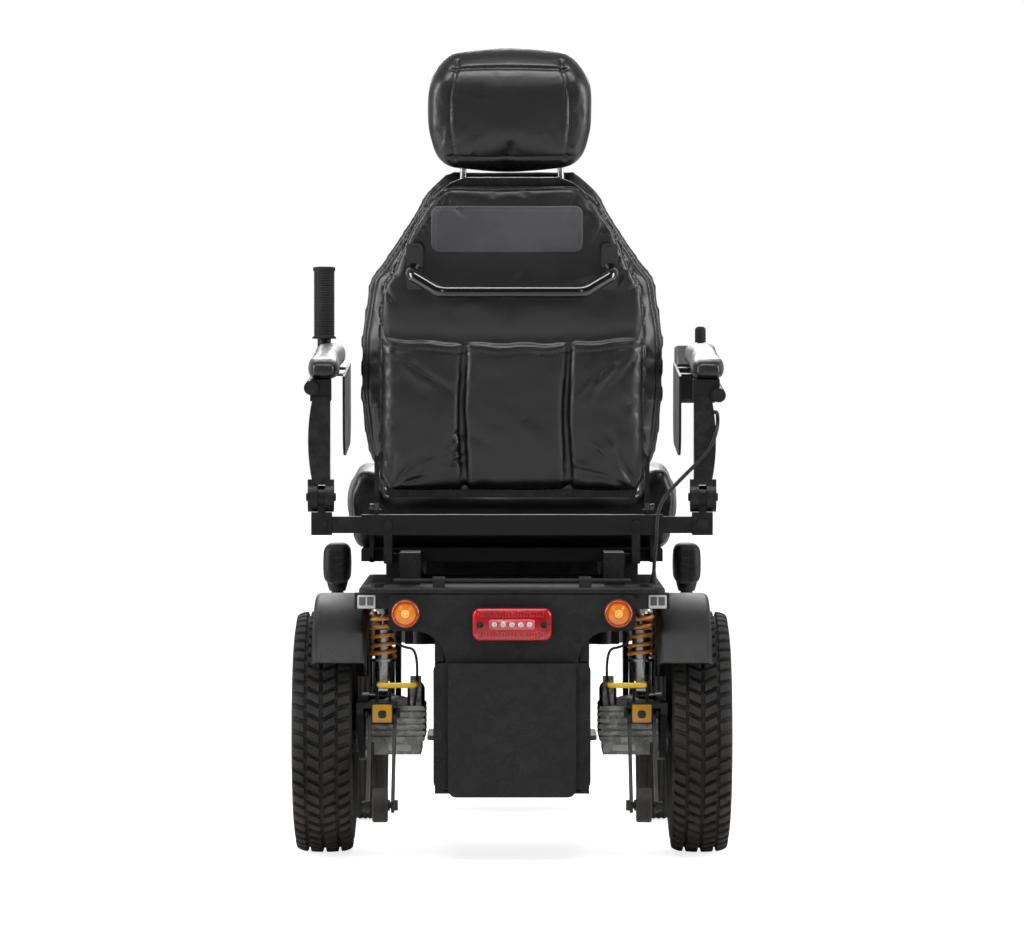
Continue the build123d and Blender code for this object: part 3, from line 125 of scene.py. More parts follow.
def smooth(low, high, value):
    t = min(max((value - low) / (high - low), 0.0), 1.0)
    return t * t * (3 - 2 * t)


def bell(distance, width):
    return math.exp(-((distance / width) ** 2))


def newPiece(name, points, faces, material, shade=True):
    mesh = bpy.data.meshes.new(name)
    mesh.from_pydata([tuple(p) for p in points], [], faces)
    mesh.validate()
    piece = bpy.data.objects.new(name, mesh)
    bpy.context.collection.objects.link(piece)
    if material:
        mesh.materials.append(material)
    if shade:
        for face in mesh.polygons:
            face.use_smooth = True
    return piece


def fixNormals(piece):
    work = bmesh.new()
    work.from_mesh(piece.data)
    bmesh.ops.recalc_face_normals(work, faces=work.faces)
    work.to_mesh(piece.data)
    work.free()
    return piece


def gridFaces(rows, columns, closed=False, start=0):
    # quads between rows of points; closed joins the last column to the first
    faces = []
    wide = columns if closed else columns - 1
    for row in range(rows - 1):
        for column in range(wide):
            after = (column + 1) % columns
            faces.append((
                start + row * columns + column,
                start + row * columns + after,
                start + (row + 1) * columns + after,
                start + (row + 1) * columns + column,
            ))
    return faces


def revolve(profile, centre, axis, around=96):
    # turns (radius, along) pairs about an axis through centre; returns points and faces
    axis = Vector(axis).normalized()
    first = axis.orthogonal().normalized()
    second = axis.cross(first)
    points = []
    for radius, along in profile:
        for step in range(around):
            angle = 2 * math.pi * step / around
            spoke = first * math.cos(angle) + second * math.sin(angle)
            points.append(Vector(centre) + axis * along + spoke * radius)
    return points, gridFaces(len(profile), around, closed=True)


def turned(name, profile, centre, axis, material, around=96):
    points, faces = revolve(profile, centre, axis, around)
    return fixNormals(newPiece(name, points, faces, material))


def tubeAlong(route, radius, around=12, endCaps=True):
    # a round tube with its middle on the route's points
    points = []
    side = None
    for place, here in enumerate(route):
        before = route[max(place - 1, 0)]
        after = route[min(place + 1, len(route) - 1)]
        ahead = (after - before).normalized()
        side = ahead.orthogonal() if side is None else side - ahead * side.dot(ahead)
        side.normalize()
        other = ahead.cross(side)
        size = radius(place / (len(route) - 1)) if callable(radius) else radius
        for step in range(around):
            angle = 2 * math.pi * step / around
            points.append(here + (side * math.cos(angle) + other * math.sin(angle)) * size)
    faces = gridFaces(len(route), around, closed=True)
    if endCaps:
        faces.append(tuple(range(around))[::-1])
        last = (len(route) - 1) * around
        faces.append(tuple(range(last, last + around)))
    return points, faces


def tube(name, route, radius, material, around=12):
    points, faces = tubeAlong(route, radius, around)
    return fixNormals(newPiece(name, points, faces, material))


def joined(name, parts, material):
    # one piece from several lists of points and faces
    points = []
    faces = []
    for some, theirs in parts:
        shift = len(points)
        points.extend(some)
        faces.extend([tuple(index + shift for index in face) for face in theirs])
    return fixNormals(newPiece(name, points, faces, material))


def boxShape(centre, size, turn=None, bevel=0.0):
    # eight corners, or more with a bevelled edge, as points and faces
    work = bmesh.new()
    bmesh.ops.create_cube(work, size=1.0)
    bmesh.ops.scale(work, vec=size, verts=work.verts)
    if bevel:
        bmesh.ops.bevel(work, geom=work.edges[:], offset=bevel, segments=2, affect="EDGES", profile=0.7)
    matrix = Matrix.Translation(Vector(centre))
    if turn:
        matrix = matrix @ turn.to_4x4()
    points = [matrix @ v.co for v in work.verts]
    work.verts.index_update()
    faces = [tuple(v.index for v in face.verts) for face in work.faces]
    work.free()
    return points, faces


def stitches(name, route, length, gap, radius, material):
    # short thread capsules along a route of points
    parts = []
    travelled = 0.0
    nextStart = gap
    for here, after in zip(route, route[1:]):
        run = (after - here).length
        while travelled + run > nextStart + length:
            a = here.lerp(after, max((nextStart - travelled) / run, 0.0))
            b = here.lerp(after, min((nextStart + length - travelled) / run, 1.0))
            parts.append(tubeAlong([a, (a + b) / 2, b], radius, 6))
            nextStart += length + gap
        travelled += run
    return joined(name, parts, material)


def resample(route, step):
    # evenly spaced points along a route
    out = [route[0]]
    need = step
    for here, after in zip(route, route[1:]):
        run = (after - here).length
        while run >= need:
            here = here.lerp(after, need / run)
            out.append(here)
            run = (after - here).length
            need = step
        need -= run
    if (out[-1] - route[-1]).length > step * 0.3:
        out.append(route[-1])
    return out


def addModifier(piece, kind, **values):
    modifier = piece.modifiers.new(kind.lower(), kind)
    for key, value in values.items():
        setattr(modifier, key, value)
    return modifier


def applyModifiers(piece):
    depsgraph = bpy.context.evaluated_depsgraph_get()
    depsgraph.update()
    finished = bpy.data.meshes.new_from_object(piece.evaluated_get(depsgraph))
    piece.modifiers.clear()
    piece.data = finished
    for face in finished.polygons:
        face.use_smooth = True
    return piece


def puffed(piece, voxel, pressure, cap, frames=20):
    # fills a closed cloth form with air, then keeps what the fabric does
    remesh = addModifier(piece, "REMESH", mode="VOXEL", voxel_size=voxel)
    remesh.use_smooth_shade = True
    applyModifiers(piece)
    rest = [v.co.copy() for v in piece.data.vertices]
    cloth = piece.modifiers.new("cloth", "CLOTH")
    settings = cloth.settings
    settings.quality = 4
    settings.mass = 0.25
    settings.tension_stiffness = 18
    settings.compression_stiffness = 12
    settings.shear_stiffness = 6
    settings.bending_stiffness = 0.6
    settings.use_pressure = True
    settings.uniform_pressure_force = pressure
    settings.effector_weights.gravity = 0.0
    cloth.collision_settings.use_collision = False
    cloth.collision_settings.use_self_collision = False
    scene = bpy.context.scene
    for step in range(1, frames + 1):
        scene.frame_set(step)
    applyModifiers(piece)
    scene.frame_set(1)
    for vertex, start in zip(piece.data.vertices, rest):
        move = vertex.co - start
        if move.length > cap:
            vertex.co = start + move.normalized() * cap
    return piece


# shader groups: each gives out only colours, masks and heights
def newGroup(name, inputs, outputs):
    group = bpy.data.node_groups.new(name, "ShaderNodeTree")
    for label, kind, value in inputs:
        socket = group.interface.new_socket(label, in_out="INPUT", socket_type=kind)
        socket.default_value = value
    for label, kind in outputs:
        group.interface.new_socket(label, in_out="OUTPUT", socket_type=kind)
    return group, group.nodes.new("NodeGroupInput"), group.nodes.new("NodeGroupOutput")


def addNode(tree, kind, **values):
    node = tree.nodes.new(kind)
    for key, value in values.items():
        if key in node.inputs:
            node.inputs[key].default_value = value
        else:
            setattr(node, key, value)
    return node


def wire(tree, start, end):
    tree.links.new(start, end)


def mixColour(tree, factor, first, second, blend="MIX"):
    node = tree.nodes.new("ShaderNodeMix")
    node.data_type = "RGBA"
    node.blend_type = blend
    for socket, value in ((node.inputs[0], factor), (node.inputs[6], first), (node.inputs[7], second)):
        if hasattr(value, "is_output"):
            wire(tree, value, socket)
        else:
            socket.default_value = value
    return node.outputs[2]


def calculate(tree, kind, first, second=0.0, third=0.0, clamp=False):
    node = tree.nodes.new("ShaderNodeMath")
    node.operation = kind
    node.use_clamp = clamp
    for socket, value in zip(node.inputs, (first, second, third)):
        if hasattr(value, "is_output"):
            wire(tree, value, socket)
        else:
            socket.default_value = value
    return node.outputs[0]


def ramp(tree, source, low, high):
    # 0 below low, 1 above high
    node = tree.nodes.new("ShaderNodeMapRange")
    node.interpolation_type = "SMOOTHSTEP"
    node.inputs["From Min"].default_value = low
    node.inputs["From Max"].default_value = high
    wire(tree, source, node.inputs["Value"])
    return node.outputs[0]


def textured(tree, kind, place, scaleSocket, **values):
    node = addNode(tree, kind, **values)
    wire(tree, place, node.inputs["Vector"])
    if hasattr(scaleSocket, "is_output"):
        wire(tree, scaleSocket, node.inputs["Scale"])
    else:
        node.inputs["Scale"].default_value = scaleSocket
    return node


def makeSurfaceGrain():
    # fine moulded or painted grain with cloudy colour, in two sizes of noise
    group, start, end = newGroup(
        "surfaceGrain",
        [
            ("Colour", "NodeSocketColor", (0.1, 0.1, 0.1, 1)),
            ("Second Colour", "NodeSocketColor", (0.05, 0.05, 0.05, 1)),
            ("Scale", "NodeSocketFloat", 900.0),
            ("Cloud Scale", "NodeSocketFloat", 14.0),
            ("Roughness Low", "NodeSocketFloat", 0.4),
            ("Roughness High", "NodeSocketFloat", 0.6),
        ],
        [("Colour", "NodeSocketColor"), ("Roughness", "NodeSocketFloat"), ("Height", "NodeSocketFloat")],
    )
    place = addNode(group, "ShaderNodeTexCoord").outputs["Object"]
    fine = textured(group, "ShaderNodeTexNoise", place, start.outputs["Scale"], Detail=3.0, Roughness=0.6)
    cells = textured(group, "ShaderNodeTexVoronoi", place, start.outputs["Scale"])
    cloud = textured(group, "ShaderNodeTexNoise", place, start.outputs["Cloud Scale"], Detail=4.0)
    cloudy = ramp(group, cloud.outputs["Fac"], 0.35, 0.68)
    wire(group, mixColour(group, cloudy, start.outputs["Colour"], start.outputs["Second Colour"]), end.inputs["Colour"])
    spread = calculate(group, "SUBTRACT", start.outputs["Roughness High"], start.outputs["Roughness Low"])
    blotch = calculate(group, "MULTIPLY_ADD", cloudy, 0.6, calculate(group, "MULTIPLY", fine.outputs["Fac"], 0.4))
    wire(group, calculate(group, "MULTIPLY_ADD", spread, blotch, start.outputs["Roughness Low"]),
         end.inputs["Roughness"])
    lumps = calculate(group, "MULTIPLY", cells.outputs["Distance"], 0.8)
    wire(group, calculate(group, "ADD", lumps, fine.outputs["Fac"]), end.inputs["Height"])
    return group


def makeEdgeWear():
    # rubbed edges, broken up so that they don't run in a line
    group, start, end = newGroup(
        "edgeWear",
        [
            ("Colour", "NodeSocketColor", (0.1, 0.1, 0.1, 1)),
            ("Worn Colour", "NodeSocketColor", (0.5, 0.5, 0.5, 1)),
            ("Amount", "NodeSocketFloat", 0.3),
            ("Patch Scale", "NodeSocketFloat", 60.0),
        ],
        [("Colour", "NodeSocketColor"), ("Mask", "NodeSocketFloat")],
    )
    place = addNode(group, "ShaderNodeTexCoord").outputs["Object"]
    sharp = ramp(group, addNode(group, "ShaderNodeNewGeometry").outputs["Pointiness"], 0.515, 0.60)
    patch = textured(group, "ShaderNodeTexNoise", place, start.outputs["Patch Scale"], Detail=6.0, Roughness=0.7)
    broken = calculate(group, "MULTIPLY", sharp, ramp(group, patch.outputs["Fac"], 0.42, 0.62))
    mask = calculate(group, "MULTIPLY", broken, start.outputs["Amount"], clamp=True)
    wire(group, mixColour(group, mask, start.outputs["Colour"], start.outputs["Worn Colour"]), end.inputs["Colour"])
    wire(group, mask, end.inputs["Mask"])
    return group


def makeSettledDust():
    # pale dust that gathers on what faces up and low down near the ground
    group, start, end = newGroup(
        "settledDust",
        [
            ("Colour", "NodeSocketColor", (0.1, 0.1, 0.1, 1)),
            ("Dust Colour", "NodeSocketColor", (0.42, 0.38, 0.33, 1)),
            ("Amount", "NodeSocketFloat", 0.2),
            ("Patch Scale", "NodeSocketFloat", 22.0),
        ],
        [("Colour", "NodeSocketColor"), ("Mask", "NodeSocketFloat")],
    )
    place = addNode(group, "ShaderNodeTexCoord").outputs["Object"]
    facing = addNode(group, "ShaderNodeSeparateXYZ")
    wire(group, addNode(group, "ShaderNodeNewGeometry").outputs["Normal"], facing.inputs[0])
    low = addNode(group, "ShaderNodeSeparateXYZ")
    wire(group, place, low.inputs[0])
    upward = ramp(group, facing.outputs["Z"], 0.1, 1.0)
    nearGround = calculate(group, "SUBTRACT", 1.0, ramp(group, low.outputs["Z"], 0.02, 0.30))
    where = calculate(group, "MULTIPLY_ADD", nearGround, 0.8, calculate(group, "MULTIPLY_ADD", upward, 0.5, 0.12))
    patch = textured(group, "ShaderNodeTexNoise", place, start.outputs["Patch Scale"], Detail=8.0, Roughness=0.7)
    specks = calculate(group, "MULTIPLY", where, ramp(group, patch.outputs["Fac"], 0.30, 0.72))
    mask = calculate(group, "MULTIPLY", specks, start.outputs["Amount"], clamp=True)
    wire(group, mixColour(group, mask, start.outputs["Colour"], start.outputs["Dust Colour"]), end.inputs["Colour"])
    wire(group, mask, end.inputs["Mask"])
    return group


def makeHideGrain():
    # leather pores in cells of uneven size, with fine creases between them
    group, start, end = newGroup(
        "hideGrain",
        [("Pore Scale", "NodeSocketFloat", 700.0), ("Crease Scale", "NodeSocketFloat", 55.0)],
        [("Height", "NodeSocketFloat"), ("Mask", "NodeSocketFloat")],
    )
    place = addNode(group, "ShaderNodeTexCoord").outputs["Object"]
    warp = textured(group, "ShaderNodeTexNoise", place, 90.0, Detail=2.0)
    push = addNode(group, "ShaderNodeVectorMath", operation="SCALE", Scale=0.004)
    wire(group, warp.outputs["Color"], push.inputs[0])
    moved = addNode(group, "ShaderNodeVectorMath", operation="ADD")
    wire(group, place, moved.inputs[0])
    wire(group, push.outputs[0], moved.inputs[1])
    pores = textured(
        group, "ShaderNodeTexVoronoi", moved.outputs[0], start.outputs["Pore Scale"], feature="DISTANCE_TO_EDGE"
    )
    poreHeight = ramp(group, pores.outputs["Distance"], 0.0, 0.22)
    crease = textured(group, "ShaderNodeTexNoise", moved.outputs[0], start.outputs["Crease Scale"], Detail=5.0)
    creaseHeight = calculate(group, "MULTIPLY", ramp(group, crease.outputs["Fac"], 0.30, 0.70), 0.4)
    wire(group, calculate(group, "ADD", poreHeight, creaseHeight), end.inputs["Height"])
    wire(group, ramp(group, crease.outputs["Fac"], 0.40, 0.75), end.inputs["Mask"])
    return group


surfaceGrain = makeSurfaceGrain()
edgeWear = makeEdgeWear()
settledDust = makeSettledDust()
hideGrain = makeHideGrain()


def tone(code):
    # a screen colour such as 2b2b2d as the linear colour that shaders use
    parts = [int(code[at:at + 2], 16) / 255 for at in (0, 2, 4)]
    return tuple(p / 12.92 if p <= 0.04045 else ((p + 0.055) / 1.055) ** 2.4 for p in parts) + (1.0,)


def addGroup(tree, group, **values):
    node = tree.nodes.new("ShaderNodeGroup")
    node.node_tree = group
    for label, value in values.items():
        node.inputs[label.replace("_", " ")].default_value = value
    return node


def makeFinish(name, look):
    material = bpy.data.materials.new(name)
    material.use_nodes = True
    tree = material.node_tree
    shader = tree.nodes["Principled BSDF"]
    grain = addGroup(
        tree,
        surfaceGrain,
        Colour=tone(look["colour"]),
        Second_Colour=tone(look.get("cloud", look["colour"])),
        Scale=look.get("grain", 900.0),
        Cloud_Scale=look.get("clouds", 14.0),
        Roughness_Low=look["rough"][0],
        Roughness_High=look["rough"][1],
    )
    colour = grain.outputs["Colour"]
    rough = grain.outputs["Roughness"]
    height = grain.outputs["Height"]
    if "worn" in look:
        wear = addGroup(tree, edgeWear, Worn_Colour=tone(look["worn"]), Amount=look.get("wear", 0.4))
        wire(tree, colour, wear.inputs["Colour"])
        colour = wear.outputs["Colour"]
        rough = calculate(tree, "MULTIPLY_ADD", wear.outputs["Mask"], look.get("wornRough", -0.12), rough, clamp=True)
    if look.get("dust"):
        dust = addGroup(
            tree, settledDust, Amount=look["dust"], Dust_Colour=tone(look.get("dustColour", "9a9086"))
        )
        wire(tree, colour, dust.inputs["Colour"])
        colour = dust.outputs["Colour"]
        rough = calculate(tree, "MULTIPLY_ADD", dust.outputs["Mask"], 0.35, rough, clamp=True)
    if "pores" in look:
        hide = addGroup(tree, hideGrain, Pore_Scale=look["pores"], Crease_Scale=look.get("creases", 55.0))
        height = calculate(tree, "MULTIPLY_ADD", hide.outputs["Height"], 1.0, calculate(tree, "MULTIPLY", height, 0.25))
        rough = calculate(tree, "MULTIPLY_ADD", hide.outputs["Mask"], 0.08, rough, clamp=True)
    bump = addNode(tree, "ShaderNodeBump", Strength=look.get("strength", 0.4), Distance=look.get("bump", 0.0003))
    wire(tree, height, bump.inputs["Height"])
    wire(tree, colour, shader.inputs["Base Color"])
    wire(tree, rough, shader.inputs["Roughness"])
    wire(tree, bump.outputs["Normal"], shader.inputs["Normal"])
    shader.inputs["Metallic"].default_value = look.get("metal", 0.0)
    shader.inputs["Coat Weight"].default_value = look.get("coat", 0.0)
    shader.inputs["Coat Roughness"].default_value = look.get("coatRough", 0.08)
    shader.inputs["Sheen Weight"].default_value = look.get("sheen", 0.0)
    shader.inputs["Specular IOR Level"].default_value = look.get("shine", 0.5)
    if "glow" in look:
        shader.inputs["Emission Color"].default_value = tone(look["glow"])
        shader.inputs["Emission Strength"].default_value = look["glowStrength"]
    return material


# one look per finish; colours are screen colours, sizes of grain are per metre
finishes = {
    "tyre_rubber": dict(colour="232222", cloud="1c1b1b", rough=(0.62, 0.80), grain=700, bump=0.0004, dust=0.22,
                        dustColour="6d665d", shine=0.35),
    "frame_black": dict(shine=0.32, colour="141415", cloud="121213", rough=(0.34, 0.46), grain=1100, bump=0.00022,
                        worn="4a4a4d", wear=0.2, dust=0.02),
    "fender_black": dict(shine=0.38, colour="151516", cloud="131314", rough=(0.38, 0.50), grain=620, bump=0.0006,
                         strength=0.6,
                         worn="3c3c3e", wear=0.12, dust=0.02),
    "rim_black": dict(shine=0.35, colour="1b1b1c", cloud="161617", rough=(0.34, 0.48), grain=900, bump=0.0002,
                      worn="6a6a6c", wear=0.3, dust=0.12),
    "cast_grey": dict(colour="8d8d8b", cloud="747473", rough=(0.42, 0.60), grain=620, bump=0.0005, metal=0.75,
                      worn="d0d0ce", wear=0.5, dust=0.06),
    "steel": dict(colour="c2c3c4", cloud="a4a5a6", rough=(0.20, 0.36), grain=1400, bump=0.0001, metal=1.0,
                  worn="e2e2e2", wear=0.4, dust=0.04),
    "spring_orange": dict(colour="dc8a1e", cloud="c67714", rough=(0.26, 0.40), grain=900, bump=0.0001, coat=0.6,
                          worn="f3c27a", wear=0.3, dust=0.04),
    "lever_yellow": dict(colour="e5bd1c", cloud="d3a912", rough=(0.30, 0.44), grain=900, bump=0.0001, coat=0.5,
                         worn="f6e08a", wear=0.4, dust=0.03),
    "plastic_black": dict(shine=0.35, colour="141415", cloud="121213", rough=(0.36, 0.50), grain=1000, bump=0.0002,
                          worn="3c3c3e", wear=0.15, dust=0.02),
    "panel_black": dict(shine=0.32, colour="1d1c1f", cloud="1a191c", rough=(0.46, 0.56), grain=760, bump=0.0004,
                        strength=0.5,
                        worn="3e3e42", wear=0.15, dust=0.015),
    "lens_red": dict(colour="c0161c", cloud="9e0f14", rough=(0.10, 0.20), grain=500, bump=0.0001, coat=1.0,
                     coatRough=0.04),
    "leather_black": dict(colour="0c0c0e", cloud="0a0a0b", rough=(0.27, 0.34), grain=900, bump=0.00025, pores=820,
                          creases=40, strength=0.30, coat=0.25, coatRough=0.20, worn="1e1e21", wear=0.08),
    "grip_rubber": dict(colour="1c1c1e", cloud="171719", rough=(0.60, 0.76), grain=1100, bump=0.0003, dust=0.08,
                        shine=0.35),
    "battery_case": dict(colour="3c3f43", cloud="303236", rough=(0.5, 0.62), grain=800, bump=0.0002, dust=0.2),
    "cable_black": dict(colour="1b1b1c", cloud="141415", rough=(0.42, 0.56), grain=1300, bump=0.0001, dust=0.1),
    "handle_gloss": dict(colour="121214", cloud="0e0e10", rough=(0.12, 0.20), grain=900, bump=0.00005, coat=0.8,
                         worn="3a3a3c", wear=0.2),
    "button_grey": dict(colour="5b5d60", cloud="4e5053", rough=(0.40, 0.52), grain=1200, bump=0.0001),
}
made = {name: makeFinish(name, look) for name, look in finishes.items()}
print("finishes made:", len(made))


def finishOf(name):
    return made[name]


# every CAD node takes the finish of its own slot, and a few take a closer one
closerFinish = {"fenders": "fender_black"}
for name, node in nodes.items():
    for place, holder in enumerate(node.material_slots):
        own = holder.material.name.split(".")[0] if holder.material else "plastic_black"
        holder.material = made.get(closerFinish.get(name, own), made["plastic_black"])
print("CAD nodes painted")


# drive tyres
driveTyre = {
    "across": 0.276,  # middle of the tyre from the chair's middle
    "axle": (-0.3425, 0.178),
    "radius": 0.1782,
    "grooveDepth": 0.0062,
    "rows": 58,  # tread blocks round the tyre
    "blockShare": 0.70,  # share of the pitch that a block fills
    "centreSlant": 0.50,  # of a pitch, from the middle outwards
    "edgeSlant": 0.34,
}


def crownDrop(across):
    # how far the tread falls away from the crown towards its shoulder
    return 0.0008 * (across / 0.020) ** 2 if across < 0.026 else 0.00135 + ((across - 0.026) / 0.017) ** 2 * 0.0068


def treadBlock(look, side, inner, outer, start, slant, pitch, wide=3):
    # one block with its sides drawn in towards the top
    points = []
    long = pitch * look["blockShare"]
    for level, inset in ((-0.0012, 0.0), (look["grooveDepth"] - 0.0012, 0.0006), (look["grooveDepth"], 0.0014)):
        ring = []
        steps = [i / wide for i in range(wide + 1)]
        edge = [(t, 0.0) for t in steps] + [(t, 1.0) for t in reversed(steps)]
        for t, end in edge:
            across = inner + inset + (outer - inner - 2 * inset) * t
            turn = start + slant * pitch * (across - inner) / (outer - inner)
            turn += (end - 0.5) * (long - 2 * inset / look["radius"])
            radius = look["radius"] - look["grooveDepth"] + level - crownDrop(across)
            ring.append(Vector((
                look["across"] * side["x"] + side["u"] * across,
                look["axle"][0] - radius * math.cos(turn),
                look["axle"][1] + radius * math.sin(turn),
            )))
        points.extend(ring)
    count = 2 * (wide + 1)
    faces = gridFaces(3, count, closed=True)
    top = 2 * count
    for i in range(wide):
        faces.append((top + i, top + i + 1, top + count - 2 - i, top + count - 1 - i))
    return points, faces


def makeDriveTyre(look, name, sign):
    parts = []
    pitch = 2 * math.pi / look["rows"]
    floor = look["radius"] - look["grooveDepth"]
    profile = [
        (0.1078, -0.0275), (0.1085, -0.0335), (0.113, -0.0372), (0.121, -0.0405), (0.133, -0.0431),
        (0.1345, -0.0441), (0.137, -0.0441), (0.1385, -0.0433), (0.150, -0.0438), (0.158, -0.0428),
        (floor - 0.0075, -0.0412), (floor - 0.0045, -0.0365), (floor - 0.0022, -0.0310),
        (floor - 0.0013, -0.0240), (floor - 0.0004, -0.0120), (floor, 0.0),
    ]
    profile = profile + [(r, -x) for r, x in reversed(profile[:-1])]
    body = revolve(profile, (sign * look["across"], *look["axle"]), (1, 0, 0), 144)
    parts.append(body)
    for row in range(look["rows"]):
        for u in (-1, 1):
            side = {"x": sign, "u": u}
            start = row * pitch
            parts.append(treadBlock(look, side, 0.0022, 0.0205, start, look["centreSlant"], pitch))
            shifted = start + pitch * (look["centreSlant"] + 0.38)
            parts.append(treadBlock(look, side, 0.0240, 0.0415, shifted, look["edgeSlant"], pitch, 4))
    tyre = joined(name, parts, finishOf("tyre_rubber"))
    tyre.data.polygons.foreach_set("use_smooth", [True] * len(tyre.data.polygons))
    addModifier(tyre, "EDGE_SPLIT", split_angle=math.radians(38))
    applyModifiers(tyre)
    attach(tyre, "drive_wheel_" + ("right" if sign > 0 else "left"))
    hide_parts("drive_tyre_" + ("right" if sign > 0 else "left"))
    return tyre


for sideName, sign in (("right", 1), ("left", -1)):
    makeDriveTyre(driveTyre, "treaded_tyre_" + sideName, sign)
print("drive tyres made")

# front casters
casterWheel = {
    "across": 0.233,
    "axle": (0.1825, 0.127),
    "radius": 0.127,
    "half": 0.034,
    "hub": 0.088,
    "ribs": 7,
    "spokes": 6,
}


def makeCasterWheel(look, sideName, sign):
    centre = (sign * look["across"], *look["axle"])
    profile = [(look["hub"] - 0.001, -0.026), (look["hub"] + 0.004, -0.0315), (look["hub"] + 0.012, -0.0335),
               (0.113, -look["half"]), (0.1195, -0.0315)]
    steps = look["ribs"] * 6
    for step in range(steps + 1):
        across = -0.0285 + 0.057 * step / steps
        wave = 0.5 - 0.5 * math.cos(2 * math.pi * look["ribs"] * step / steps)
        groove = 0.0018 * (1 - wave ** 0.35)
        profile.append((look["radius"] - 0.0042 * (abs(across) / 0.0285) ** 3 - groove, across))
    profile += [(0.1195, 0.0315), (0.113, look["half"]), (look["hub"] + 0.012, 0.0335),
                (look["hub"] + 0.004, 0.0315), (look["hub"] - 0.001, 0.026)]
    tyre = turned("caster_tyre_" + sideName, profile, centre, (1, 0, 0), finishOf("tyre_rubber"), 128)
    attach(tyre, "caster_wheel_" + sideName)
    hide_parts("caster_wheel_" + sideName)
    rim = [(0.0045, -0.030), (0.012, -0.0305), (0.0165, -0.0295), (0.0185, -0.026), (0.020, -0.014), (0.068, -0.011),
           (0.074, -0.014), (0.079, -0.0235), (0.084, -0.0285), (look["hub"] + 0.001, -0.029)]
    rim = rim + [(r, -x) for r, x in reversed(rim)]
    hubParts = [revolve(rim, centre, (1, 0, 0), 96)]
    for spoke in range(look["spokes"]):
        turn = Matrix.Rotation(2 * math.pi * spoke / look["spokes"], 3, "X")
        for face in (-1, 1):
            middle = Vector(centre) + turn @ Vector((face * 0.0165, 0, 0.047))
            hubParts.append(boxShape(middle, (0.011, 0.010, 0.058), turn, 0.0025))
            bolt = Vector(centre) + turn @ Vector((face * 0.0285, 0, 0.0122))
            hubParts.append(boxShape(bolt, (0.004, 0.0042, 0.0042), turn, 0.0012))
    hub = joined("caster_hub_" + sideName, hubParts, finishOf("rim_black"))
    addModifier(hub, "EDGE_SPLIT", split_angle=math.radians(35))
    applyModifiers(hub)
    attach(hub, "caster_wheel_" + sideName)


for sideName, sign in (("right", 1), ("left", -1)):
    makeCasterWheel(casterWheel, sideName, sign)
print("casters made")

# shock springs
shockSpring = {
    "across": 0.1877,
    "along": -0.4375,
    "foot": 0.2912,
    "head": 0.3608,
    "coil": 0.0170,  # radius of the wire's middle
    "wire": 0.0030,
    "turns": 5.6,
}


def makeShockSpring(look, sideName, sign):
    route = []
    steps = int(look["turns"] * 36)
    low = look["foot"] + look["wire"]
    high = look["head"] - look["wire"]
    for step in range(steps + 1):
        t = step / steps
        turn = 2 * math.pi * look["turns"] * t
        # the end turns lie close together
        rise = smooth(0.0, 1.0, t) * 0.35 + t * 0.65
        route.append(Vector((
            sign * look["across"] + look["coil"] * math.cos(turn),
            look["along"] + look["coil"] * math.sin(turn),
            low + (high - low) * rise,
        )))
    spring = tube("spring_coil_" + sideName, route, look["wire"], finishOf("spring_orange"), 12)
    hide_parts("shock_spring_" + sideName)
    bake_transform(spring)


for sideName, sign in (("right", 1), ("left", -1)):
    makeShockSpring(shockSpring, sideName, sign)
print("springs made")


# padded pieces
def crownedPad(name, outline, front, rear, material, crown=0.012, edge=0.45, place=onBack):
    # a closed form between two faces of one outline, crowned in the middle and drawn in to a seam
    # outline: (half width, height) pairs from the bottom up; front and rear: how far out each face lies
    half = (rear - front) / 2
    middle = (rear + front) / 2
    low, high = outline[0][1], outline[-1][1]
    levels = 44
    rows = []
    for level in range(levels + 1):
        t = level / levels
        height = low + (high - low) * t
        wide = outline[-1][0]
        for (w0, h0), (w1, h1) in zip(outline, outline[1:]):
            if h0 <= height <= h1:
                wide = w0 + (w1 - w0) * (height - h0) / max(h1 - h0, 1e-6)
                break
        rows.append((wide, height))
    points = []
    columns = 40
    for face in (1, -1):
        for wide, height in rows:
            for column in range(columns + 1):
                across = -1 + 2 * column / columns
                nearEdge = 1 - abs(across) ** 6
                nearEnd = 1 - abs(2 * (height - low) / (high - low) - 1) ** 12
                body = max(nearEdge, 0) ** edge * max(nearEnd, 0) ** edge
                swell = crown * (1 - across ** 2) * (1 - (2 * (height - low) / (high - low) - 1) ** 2)
                out = middle + face * (half - crown) * body + face * swell
                points.append(place(wide * across, height, out))
    count = (levels + 1) * (columns + 1)
    faces = gridFaces(levels + 1, columns + 1)
    faces += [tuple(reversed(f)) for f in gridFaces(levels + 1, columns + 1, start=count)]
    piece = newPiece(name, points, faces, material)
    work = bmesh.new()
    work.from_mesh(piece.data)
    bmesh.ops.remove_doubles(work, verts=work.verts, dist=0.0004)
    openEdges = [e for e in work.edges if e.is_boundary]
    if openEdges:
        bmesh.ops.holes_fill(work, edges=openEdges, sides=0)
    bmesh.ops.recalc_face_normals(work, faces=work.faces)
    work.to_mesh(piece.data)
    work.free()
    return piece


def localBack(point):
    # across, up along the back and out to the rear of a point in the frame
    away = point - backStart
    high = -away.y * math.sin(lean) + away.z * math.cos(lean)
    out = -away.y * math.cos(lean) - away.z * math.sin(lean)
    return point.x, high, out


def moveOut(piece, depth):
    # moves each point along the back's outward line by depth(across, high, out)
    outward = Vector((0.0, -math.cos(lean), -math.sin(lean)))
    for vertex in piece.data.vertices:
        across, high, out = localBack(vertex.co)
        vertex.co = vertex.co + outward * depth(across, high, out)
    return piece


def subdivide(piece, levels=1):
    addModifier(piece, "SUBSURF", levels=levels, render_levels=levels)
    return applyModifiers(piece)


